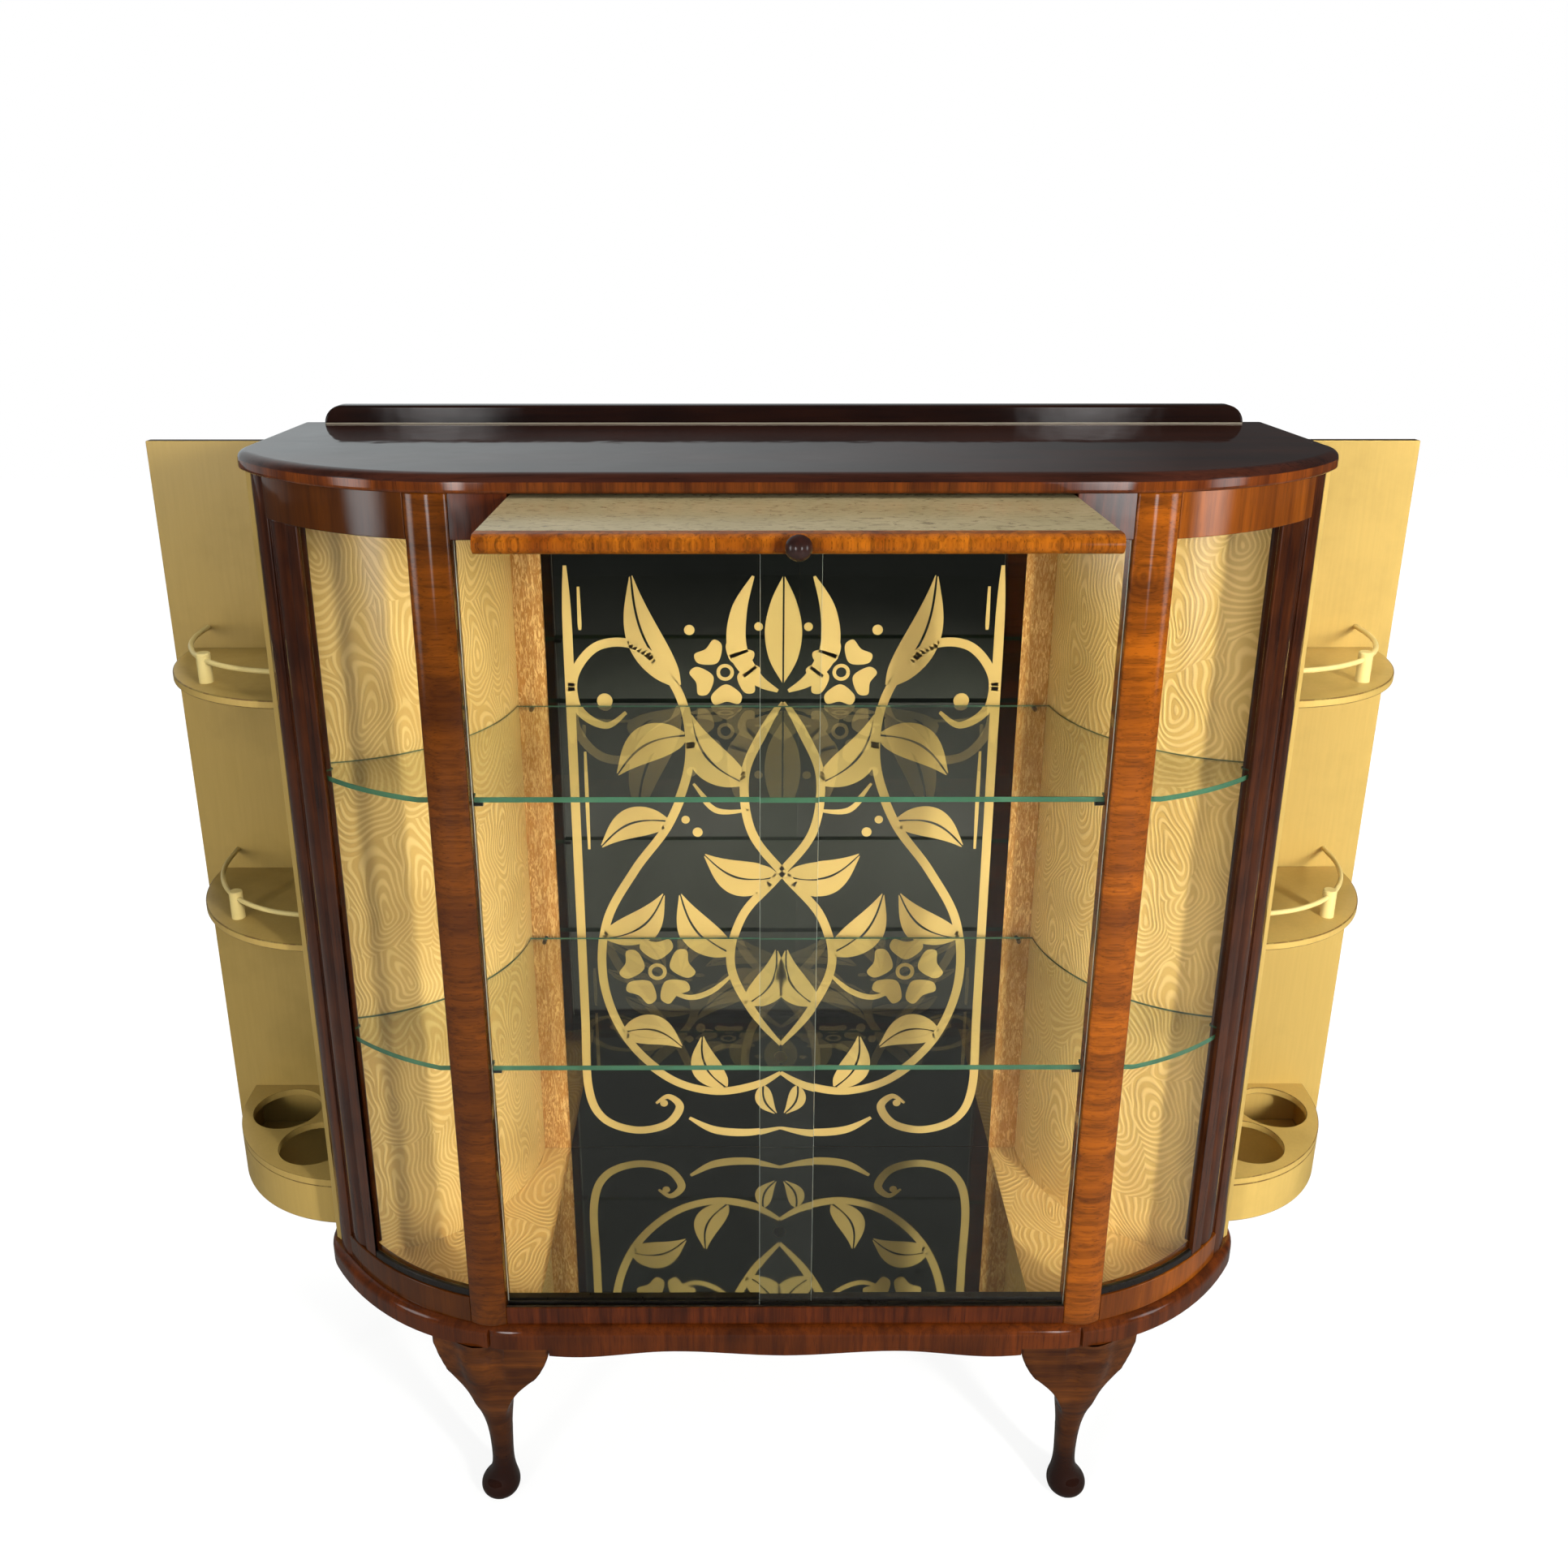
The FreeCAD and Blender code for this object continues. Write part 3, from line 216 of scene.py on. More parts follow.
def changed_up_the_height(material, measure, over):
    """Lay another colour over a finished material; measure gives its share from the height."""
    tree = material.node_tree
    under = node_of(material, "BSDF_PRINCIPLED").inputs["Base Color"].links[0].from_socket
    height = add(tree, "SeparateXYZ", [add(tree, "TexCoord").outputs["Object"]]).outputs["Z"]
    body = add(tree, "Mix", {0: measure(tree, height), 6: under, 7: over}, data_type="RGBA")
    return finished(material, {"Base Color": body})


def veiled(tree, pattern, low, high, most, under, over):
    """One colour over another where a pattern rises from low to high; most is its greatest share."""
    share = add(tree, "MapRange", [pattern, low, high, 0.0, most])
    return add(tree, "Mix", {0: share, 6: under, 7: over}, data_type="RGBA")


def clouded(name, size, detail, one, other, span=None, rough=None, **sockets):
    """A finish of two colours in clouds of one size. The span says where in the pattern the other
    colour starts and ends to rise, and its greatest share; rough maps the pattern to a roughness.
    """
    material, tree, place = surface(name, **sockets)
    cloud = add(tree, "TexNoise", {"Vector": place, "Scale": 1 / (size * MM), "Detail": detail})
    if span:
        body = veiled(tree, cloud, *span, one, other)
    else:
        body = add(tree, "Mix", {0: cloud, 6: one, 7: other}, data_type="RGBA")
    inputs = {"Base Color": body}
    if rough:
        inputs["Roughness"] = add(tree, "MapRange", [cloud, *rough])
    return finished(material, inputs)


# painted light: brightens or darkens a colour along x, standing in for lamps that light one side more than
# the other
def painted_light_across(tree, shade, place, ends, tones):
    """The shade, brightened or darkened from one place along x to another."""
    across = add(tree, "SeparateXYZ", [place]).outputs["X"]
    tone = add(tree, "MapRange", [across, *ends, *tones])
    return add(tree, "HueSaturation", {"Value": tone, "Color": shade})


def tone_by_lengths(tree, place, axis, long, spread):
    """A brightness that changes from one joined length of veneer to the next."""
    along = add(tree, "SeparateXYZ", [place]).outputs[axis]
    count = add(tree, "Math", [along, 1 / (long * MM)], operation="MULTIPLY")
    piece = add(tree, "TexVoronoi", {"W": count, "Scale": 1.0}, voronoi_dimensions="1D")
    return add(tree, "MapRange", [piece.outputs["Color"], 0.0, 1.0, 1 - spread, 1 + spread])


def knots(tree, place, wood, dark, strength):
    """Darken the wood in small ringed eyes, one here and there on an upright face."""
    wide, ring = 170.0, 6.0
    upright = add(tree, "Mapping", {"Vector": place, "Rotation": (math.pi / 2, 0.0, 0.0),
                                    "Scale": (1.0, 1.0, 0.75)})
    eye = add(tree, "TexVoronoi", {"Vector": upright, "Scale": 1 / (wide * MM)}, voronoi_dimensions="2D",
              feature="F1")
    near = add(tree, "MapRange", [eye, 0.02, 0.16, strength, 0.0])
    turns = add(tree, "Math", [eye, 2 * math.pi * wide / ring], operation="MULTIPLY")
    wave = add(tree, "Math", [turns], operation="SINE")
    rings = add(tree, "MapRange", [wave, -1.0, 1.0, 0.35])
    share = add(tree, "Math", [near, rings], operation="MULTIPLY")
    return add(tree, "Mix", {0: share, 6: wood, 7: dark}, data_type="RGBA")


def polished_veneer(name, dark, mid, light, grain, figure=45.0, contrast=1.0, eyes=0.0, lengths=None,
                    painted_light_halves=None, coat_weight=1.0):
    """Walnut veneer under clear polish: figure that runs along one axis, pores and a smooth coat."""
    material, tree, place = surface(name, Coat_Weight=coat_weight, Coat_Roughness=0.045, Coat_IOR=1.5,
                                    Specular_IOR_Level=0.08)
    squeeze = {"X": (0.05, 1.0, 1.0), "Y": (1.0, 0.05, 1.0), "Z": (1.0, 1.0, 0.05)}[grain]
    run = add(tree, "Mapping", {"Vector": place, "Scale": squeeze})
    broad = add(tree, "TexNoise", {"Vector": run, "Scale": 1 / (figure * MM), "Detail": 4.0,
                                   "Roughness": 0.6, "Distortion": 1.4})
    cloud = add(tree, "TexNoise", {"Vector": place, "Scale": 1 / (1.6 * figure * MM), "Detail": 2.0})
    streak = add(tree, "TexNoise", {"Vector": run, "Scale": 1 / (6.0 * MM), "Detail": 5.0,
                                    "Roughness": 0.65, "Distortion": 0.6})
    pore = add(tree, "TexNoise", {"Vector": run, "Scale": 1 / (1.2 * MM), "Detail": 2.0})
    figured = add(tree, "Mix", {0: 0.35, 2: broad, 3: cloud})
    share = add(tree, "MapRange", [figured, 0.38, 0.62])
    body = add(tree, "Mix", {0: share, 6: mid, 7: light}, data_type="RGBA")
    lined = veiled(tree, streak, 0.44, 0.66, 0.62 * contrast, body, dark)
    pits = add(tree, "MapRange", [pore, 0.58, 0.7, 0.0, 0.55 * contrast])
    wood = add(tree, "Mix", {0: pits, 6: lined, 7: dark}, data_type="RGBA")
    if eyes:
        wood = knots(tree, place, wood, dark, eyes)
    if lengths:
        tone = tone_by_lengths(tree, place, *lengths)
        wood = add(tree, "HueSaturation", {"Value": tone, "Color": wood})
    # painted light and shade: the left half darker and the right half brighter, as the light falls
    if painted_light_halves:
        wood = painted_light_across(tree, wood, place, PAINTED_LIGHT_SPAN, painted_light_halves)
    rub = add(tree, "TexNoise", {"Vector": place, "Scale": 1 / (90.0 * MM), "Detail": 4.0})
    rough = add(tree, "MapRange", [rub, 0.3, 0.7, 0.32, 0.5])
    bump = add(tree, "Bump", {"Height": pits, "Strength": 0.35, "Distance": 0.1 * MM}, invert=True)
    ripple = add(tree, "TexNoise", {"Vector": place, "Scale": 1 / (26.0 * MM), "Detail": 1.0})
    coat = add(tree, "Bump", {"Height": ripple, "Strength": 0.25, "Distance": 0.5 * MM})
    return finished(material, {"Base Color": wood, "Roughness": rough, "Normal": bump,
                               "Coat Normal": coat})


def crossband():
    """Crossbanded walnut of the curved friezes and rails; it reads as soft upright bands."""
    c = colours()
    # painted shade on the left frieze and rail, painted light on the right ones
    return polished_veneer("crossbanded_walnut", c.walnut_dark, c.walnut_mid, c.walnut_light, "Z", 70.0,
                           0.5, painted_light_halves=(0.42, 1.7))


def crossband_bright():
    """Veneer lengths joined along the edge of the top; some glow orange."""
    c = colours()
    return polished_veneer("banded_edge_walnut", c.walnut_dark, "451B06", "76380A", "Z", 45.0, 0.8,
                           lengths=("X", 165.0, 0.45))


def base_walnut():
    """Red-brown banding of the base and apron, darker than the top's."""
    # painted shade on the left of the base, a little painted light on the right
    return polished_veneer("base_walnut", "160703", "401B05", "682E08", "Z", 55.0, 0.7,
                           lengths=("X", 240.0, 0.2), painted_light_halves=(0.7, 1.05))


def lip_walnut():
    """Golden banding of the slide's lip; its short grain reads as dark upright streaks."""
    return polished_veneer("slide_lip_walnut", "260E03", "6C3204", "9C560C", "Z", 34.0, 1.0,
                           coat_weight=0.4)


def column_veneer():
    """Walnut laid across the columns in joined lengths; level streaks with an eye here and there."""
    # painted shade on the left column, painted light on the right one
    return polished_veneer("column_walnut", "1E0B03", "5E2D06", "874508", "X", 60.0, 0.8, eyes=0.5,
                           lengths=("Z", 300.0, 0.2), painted_light_halves=(0.54, 1.25))


def frieze_veneer():
    """Dark stained walnut of the middle frieze and the front rail."""
    return polished_veneer("dark_frieze_walnut", "120502", "351304", "562307", "Z", 30.0)


def stained_hardwood():
    """Solid hardwood stained red-brown, on posts, gallery and rear stiles."""
    return polished_veneer("stained_hardwood", "100503", "2E1206", "4E240A", "Z", 24.0, 0.8)


def gallery_hardwood():
    """Dark gallery, with a painted highlight along its foot: a thin pale line where light shows at its
    joint with the top.
    """
    material = polished_veneer("gallery_hardwood", "060202", "100604", "1E0C06", "X", 40.0, 0.8)

    # painted highlight: the pale line at the foot of the gallery
    def foot(tree, height):
        return add(tree, "Math", [height, GALLERY_LOW.z + 1.5 * MM], operation="LESS_THAN")
    return changed_up_the_height(material, foot, "8E8474")


def top_veneer():
    """Dark polished top, its grain along the length; it mirrors what stands on it."""
    return polished_veneer("polished_top", "120705", "24100A", "3A1B10", "X", 70.0, 0.8)


def leg_veneer():
    """Figured walnut on the knees, darker down the shank and nearly black at the foot."""
    material = polished_veneer("leg_walnut", "180803", "381904", "62330B", "X", 22.0, 0.7)

    def stain(tree, height):
        return add(tree, "MapRange", [height, 30 * MM, 150 * MM, 0.94, 0.15],
                   interpolation_type="SMOOTHSTEP")
    return changed_up_the_height(material, stain, "180603")


def plain_board():
    """Planed and lightly oiled softwood where nobody looks; it reads as dull brown with faint grain."""
    material, tree, place = surface("plain_board", Roughness=0.62)
    run = add(tree, "Mapping", {"Vector": place, "Scale": (1.0, 1.0, 0.06)})
    grain = add(tree, "TexNoise", {"Vector": run, "Scale": 1 / (9.0 * MM), "Detail": 5.0,
                                   "Distortion": 0.5})
    stain = add(tree, "TexNoise", {"Vector": place, "Scale": 1 / (160.0 * MM), "Detail": 3.0})
    light = add(tree, "Mix", {0: grain, 6: "6E4A2A", 7: "9A7446"}, data_type="RGBA")
    body = veiled(tree, stain, 0.4, 0.7, 0.5, light, "59381F")
    bump = add(tree, "Bump", {"Height": grain, "Strength": 0.4, "Distance": 0.2 * MM})
    return finished(material, {"Base Color": body, "Normal": bump})


def hardboard():
    """Pressed fibre board of the back; it reads as flat brown with short fibres."""
    material, tree, place = surface("pressed_hardboard", Roughness=0.55)
    fibre = add(tree, "TexNoise", {"Vector": place, "Scale": 1 / (2.2 * MM), "Detail": 6.0,
                                   "Roughness": 0.7})
    cloud = add(tree, "TexNoise", {"Vector": place, "Scale": 1 / (140.0 * MM), "Detail": 3.0})
    light = add(tree, "Mix", {0: fibre, 6: "55341B", 7: "8A6238"}, data_type="RGBA")
    body = add(tree, "Mix", {0: cloud, 6: light, 7: "6A4526"}, data_type="RGBA")
    bump = add(tree, "Bump", {"Height": fibre, "Strength": 0.3, "Distance": 0.2 * MM})
    return finished(material, {"Base Color": body, "Normal": bump})


def embossed_vinyl():
    """Gold vinyl cloth embossed with nested swirls; the ridges catch the light."""
    c, s = colours(), sizes()
    material, tree, place = surface("embossed_gold_vinyl", place="UV", Metallic=0.08, Roughness=0.4)
    warp = add(tree, "TexNoise", {"Vector": place, "Scale": 1 / (75.0 * MM), "Detail": 1.0},
               noise_dimensions="2D")
    centred = add(tree, "VectorMath", [warp.outputs["Color"], (0.5, 0.5, 0.5)], operation="SUBTRACT")
    pushed = add(tree, "VectorMath", [centred, (0.04, 0.04, 0.0)], operation="MULTIPLY")
    bent = add(tree, "VectorMath", [place, pushed], operation="ADD")
    tall = add(tree, "Mapping", {"Vector": bent, "Rotation": (0.0, 0.0, 0.42), "Scale": (1.4, 0.72, 1.0)})
    cell = add(tree, "TexVoronoi", {"Vector": tall, "Scale": 1 / s.lining_cell, "Randomness": 0.85},
               voronoi_dimensions="2D", feature="F1")
    off = add(tree, "VectorMath", [tall, cell.outputs["Position"]], operation="SUBTRACT")
    parts = add(tree, "SeparateXYZ", [off])
    above = add(tree, "Math", [parts.outputs["Y"], 0.5], operation="MULTIPLY")
    below = add(tree, "Math", [parts.outputs["Y"], -1.25], operation="MULTIPLY")
    rise = add(tree, "Math", [above, below, 0.012], operation="SMOOTH_MAX")
    drop = add(tree, "CombineXYZ", {"X": parts.outputs["X"], "Y": rise})
    reach = add(tree, "VectorMath", [drop], operation="LENGTH")
    turns = 2 * math.pi / s.lining_ridge
    phase = add(tree, "Math", [reach, turns], operation="MULTIPLY")
    wave = add(tree, "Math", [phase], operation="SINE")
    ridge = add(tree, "MapRange", [wave, -0.5, 1.0], interpolation_type="SMOOTHSTEP")
    grain = add(tree, "TexNoise", {"Vector": place, "Scale": 1 / (1.8 * MM), "Detail": 3.0},
                noise_dimensions="2D")
    soil = add(tree, "TexNoise", {"Vector": place, "Scale": 1 / (120.0 * MM), "Detail": 4.0},
               noise_dimensions="2D")
    # painted highlight: the ridges take the lighter colour, besides their bump
    gold = add(tree, "Mix", {0: ridge, 6: c.vinyl_body, 7: c.vinyl_ridge_highlight}, data_type="RGBA")
    body = veiled(tree, soil, 0.48, 0.78, 0.4, gold, c.vinyl_groove)
    fleck = add(tree, "Math", [grain, 0.35], operation="MULTIPLY")
    height = add(tree, "Math", [ridge, fleck], operation="ADD")
    bump = add(tree, "Bump", {"Height": height, "Strength": 0.6, "Distance": 0.7 * MM})
    # painted light: the lining is painted brighter towards the outer wall on the right, where light falls
    # through the glass
    lit = painted_light_across(tree, body, add(tree, "TexCoord").outputs["Object"], (0.32, 0.42), (1.09, 1.34))
    return finished(material, {"Base Color": lit, "Normal": bump})


def flecked_vinyl():
    """Orange-brown covered strips beside the mirror, with hair-like raised flecks."""
    material, tree, place = surface("flecked_gold_vinyl", Metallic=0.1, Roughness=0.4)
    lean = add(tree, "Mapping", {"Vector": place, "Rotation": (0.0, 0.5, 0.0), "Scale": (1.0, 1.0, 0.22)})
    fleck = add(tree, "TexNoise", {"Vector": lean, "Scale": 1 / (3.0 * MM), "Detail": 4.0, "Roughness": 0.6,
                                   "Distortion": 1.6})
    cloud = add(tree, "TexNoise", {"Vector": place, "Scale": 1 / (45.0 * MM), "Detail": 3.0})
    share = add(tree, "MapRange", [fleck, 0.46, 0.62])
    gold = add(tree, "Mix", {0: share, 6: "B47A36", 7: "F0C078"}, data_type="RGBA")
    body = veiled(tree, cloud, 0.4, 0.7, 0.5, gold, "A46A28")
    bump = add(tree, "Bump", {"Height": share, "Strength": 0.7, "Distance": 0.6 * MM})
    return finished(material, {"Base Color": body, "Normal": bump})


def cream_paint(name, paint_colour, worn_colour, rubbed=0.0):
    """Brushed paint gone yellow, rubbed and a little soiled; rubbed is the share worn to the wood."""
    material, tree, place = surface(name, IOR=1.48)
    cloud = add(tree, "TexNoise", {"Vector": place, "Scale": 1 / (150.0 * MM), "Detail": 5.0,
                                   "Roughness": 0.6})
    brushed = add(tree, "Mapping", {"Vector": place, "Scale": (1.0, 1.0, 0.05)})
    stroke = add(tree, "TexNoise", {"Vector": brushed, "Scale": 1 / (4.0 * MM), "Detail": 4.0})
    chip = add(tree, "TexNoise", {"Vector": place, "Scale": 1 / (11.0 * MM), "Detail": 6.0,
                                  "Roughness": 0.7})
    soiled = veiled(tree, cloud, 0.46, 0.78, 0.55, paint_colour, worn_colour)
    brushwork = veiled(tree, stroke, 0.35, 0.7, 0.12, soiled, worn_colour)
    chipped = veiled(tree, chip, 0.735 - rubbed, 0.755 - rubbed, 0.75, brushwork, "6B4A22")
    rough = add(tree, "MapRange", [cloud, 0.3, 0.7, 0.3, 0.5])
    # painted light: the wings are painted darker on the left and brighter on the right, as the light falls
    lit = painted_light_across(tree, chipped, place, PAINTED_LIGHT_SPAN, (0.74, 1.16))
    bump = add(tree, "Bump", {"Height": stroke, "Strength": 0.25, "Distance": 0.15 * MM})
    return finished(material, {"Base Color": lit, "Roughness": rough, "Normal": bump})


def cream_lacquer():
    """Cream paint of the wings; it reads as dull yellow with faint upright brushwork."""
    c = colours()
    return cream_paint("aged_cream_lacquer", c.cream, c.cream_worn)


def rail_lacquer():
    """Paint of the rails and pegs, lighter than the boards."""
    c = colours()
    return cream_paint("rail_lacquer", c.cream_rail, c.cream)


def rubbed_rim():
    """Arrises of the painted boards, rubbed to the wood in places; a broken brown line."""
    c = colours()
    return cream_paint("rubbed_paint_rim", c.cream_worn, "7C6030", 0.26)


def dark_edge():
    """Edge of the painted board where the paint has rubbed through to dark stain."""
    return clouded("rubbed_dark_edge", 7.0, 6.0, "2A211B", "54442A", (0.5, 0.75, 0.6), Roughness=0.5)


def clear_glass():
    """Drawn sheet glass: clear through its faces; lamps and mirrored rays pass straight through."""
    tint = "F8FAF7"
    material, tree, _ = surface("clear_sheet_glass", Roughness=0.0, IOR=1.5, Transmission_Weight=1.0,
                                Base_Color=tint)
    rays = add(tree, "LightPath")
    mirrored = add(tree, "Math", [rays.outputs["Glossy Depth"], 0.5], operation="GREATER_THAN")
    plain = add(tree, "Math", [rays.outputs["Is Shadow Ray"], mirrored], operation="MAXIMUM")
    through = add(tree, "BsdfTransparent", {"Color": tint})
    both = add(tree, "MixShader", {0: plain, 1: node_of(material, "BSDF_PRINCIPLED"), 2: through})
    feed(tree, node_of(material, "OUTPUT_MATERIAL"), {"Surface": both})
    return material


def glass_edge():
    """Cut edge of the glass shelves; light gathered in the sheet makes it green."""
    return clouded("cut_glass_edge", 60.0, 3.0, colours().glass_edge, "436E55", Roughness=0.2, IOR=1.5,
                   Transmission_Weight=0.12)


def door_glass_edge():
    """Ground edge of the sliding doors; it catches the light as a thin pale line."""
    return clouded("ground_door_edge", 30.0, 4.0, "A8B4A6", "E2E8E0", Roughness=0.35, IOR=1.5,
                   Transmission_Weight=0.1)


def smoked_mirror():
    """Back mirror, its silver gone grey and a little cloudy; its dark tint is partly age and partly painted
    shade for the dim room that it mirrors.
    """
    return clouded("aged_mirror", 210.0, 3.0, "8C8A82", colours().silvering_painted_dark, (0.35, 0.7, 1.0),
                   rough=(0.3, 0.75, 0.01, 0.035), Metallic=1.0)


def bright_mirror():
    """Loose sheet of silvered mirror on the floor, faintly dusty."""
    return clouded("silvered_mirror", 70.0, 5.0, "DDE0DA", "C2C6BE", rough=(0.35, 0.75, 0.01, 0.05),
                   Metallic=1.0)


def gilt_line():
    """Printed gold line on the mirror: flat metallic paint with a slight grain."""
    c = colours()
    material, tree, place = surface("printed_gilding", Metallic=0.2, Roughness=0.42)
    grain = add(tree, "TexNoise", {"Vector": place, "Scale": 1 / (2.0 * MM), "Detail": 3.0})
    cloud = add(tree, "TexNoise", {"Vector": place, "Scale": 1 / (130.0 * MM), "Detail": 2.0})
    gold = add(tree, "Mix", {0: cloud, 6: c.gilding, 7: "D4AD62"}, data_type="RGBA")
    bump = add(tree, "Bump", {"Height": grain, "Strength": 0.15, "Distance": 0.1 * MM})
    return finished(material, {"Base Color": gold, "Normal": bump})


def mottled_laminate():
    """Decorative laminate, fawn with short grey-brown marks, semi-gloss."""
    c = colours()
    material, tree, place = surface("mottled_laminate", Roughness=0.16, IOR=1.52)
    short = add(tree, "Mapping", {"Vector": place, "Scale": (0.45, 1.0, 1.0)})
    mark = add(tree, "TexNoise", {"Vector": short, "Scale": 1 / (7.0 * MM), "Detail": 5.0,
                                  "Roughness": 0.65, "Distortion": 1.5})
    cloud = add(tree, "TexNoise", {"Vector": place, "Scale": 1 / (60.0 * MM), "Detail": 4.0})
    tone = add(tree, "Mix", {0: cloud, 6: c.laminate, 7: "B4A27A"}, data_type="RGBA")
    return finished(material, {"Base Color": veiled(tree, mark, 0.52, 0.66, 0.7, tone, "6B5838")})


def black_strip(name, code, roughness):
    """Black moulded strip with fine scuffs."""
    material, tree, place = surface(name, IOR=1.5)
    scuff = add(tree, "TexNoise", {"Vector": place, "Scale": 1 / (8.0 * MM), "Detail": 6.0,
                                   "Roughness": 0.7})
    body = veiled(tree, scuff, 0.5, 0.8, 0.5, code, "3A342C")
    rough = add(tree, "MapRange", [scuff, 0.0, 1.0, roughness, roughness + 0.2])
    return finished(material, {"Base Color": body, "Roughness": rough})


def track_black():
    return black_strip("black_track", "0D0B0A", 0.2)


def bead_black():
    return black_strip("dark_glazing_bead", "14110F", 0.2)


def turned_knob():
    """Turned knob, ebonised and polished."""
    return clouded("ebonised_knob", 3.0, 3.0, "140A08", "2E130C", Coat_Weight=0.8, Coat_Roughness=0.06,
                   Roughness=0.35)


def aged_brass():
    """Rolled brass of the hinges, dulled by age."""
    return clouded("aged_brass", 9.0, 5.0, colours().brass, "6B5228", (0.4, 0.7, 0.7),
                   rough=(0.0, 1.0, 0.22, 0.5), Metallic=1.0)


MADE = {}


def finish(maker):
    """The material of a maker function, made once."""
    if maker not in MADE:
        MADE[maker] = maker()
    return MADE[maker]


def select_only(piece):
    bpy.ops.object.select_all(action="DESELECT")
    piece.select_set(True)
    bpy.context.view_layer.objects.active = piece


def settle(piece, body, slot, *nodes):
    """Attach a finished piece to its body and hide the nodes that it replaces; slot is not used."""
    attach(piece, body)
    if nodes:
        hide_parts(*nodes)
    return piece


def copied(name, mesh):
    piece = bpy.data.objects.new(name, mesh.copy())
    bpy.context.scene.collection.objects.link(piece)
    return piece


def built(name, bm):
    """A piece made of the faces of a bmesh, which is freed."""
    mesh = bpy.data.meshes.new(name)
    bm.to_mesh(mesh)
    bm.free()
    return copied(name, mesh)


def change(piece, kind, **settings):
    """Apply one modifier with its settings to the active piece."""
    modifier = piece.modifiers.new(kind.lower(), kind)
    for name, value in settings.items():
        setattr(modifier, name, value)
    bpy.ops.object.modifier_apply(modifier=modifier.name)


def smooth(piece, angle=40, weighted=True):
    """Shade smoothly, flat faces kept flat."""
    select_only(piece)
    bpy.ops.object.shade_smooth_by_angle(angle=math.radians(angle))
    if weighted:
        change(piece, "WEIGHTED_NORMAL", keep_sharp=True)


def paint(piece, makers, pick=None):
    """Give a piece its materials; pick returns the number of the material for a face."""
    makers = makers if isinstance(makers, (list, tuple)) else [makers]
    piece.data.materials.clear()
    for maker in makers:
        piece.data.materials.append(finish(maker))
    for face in piece.data.polygons:
        face.material_index = pick(face.center, face.normal) if pick else 0


def dressed(node, makers, arris=None, pick=None, angle=40):
    """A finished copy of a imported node: merged, its sharp edges rounded, smoothed and painted."""
    source = NODES[node]
    piece = copied("finished_" + node, source.data)
    select_only(piece)
    bpy.ops.mesh.customdata_custom_splitnormals_clear()
    bpy.ops.object.mode_set(mode="EDIT")
    bpy.ops.mesh.select_all(action="SELECT")
    bpy.ops.mesh.remove_doubles(threshold=0.002 * MM)
    bpy.ops.mesh.dissolve_limited(angle_limit=math.radians(0.2))
    bpy.ops.object.mode_set(mode="OBJECT")
    arris = sizes().arris if arris is None else arris
    if arris:
        change(piece, "BEVEL", width=arris, segments=3, limit_method="ANGLE",
               angle_limit=math.radians(32), use_clamp_overlap=True)
    smooth(piece, angle)
    paint(piece, makers, pick)
    return settle(piece, source["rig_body"], SLOTS[node], node)


def lay_uv(piece, to_uv):
    """Write a UV map in metres from the place of each corner."""
    layer = piece.data.uv_layers.get("lining") or piece.data.uv_layers.new(name="lining")
    piece.data.uv_layers.active = layer
    layer.active_render = True
    for face in piece.data.polygons:
        for corner in face.loop_indices:
            co = piece.data.vertices[piece.data.loops[corner].vertex_index].co
            layer.data[corner].uv = to_uv(co, face.normal)


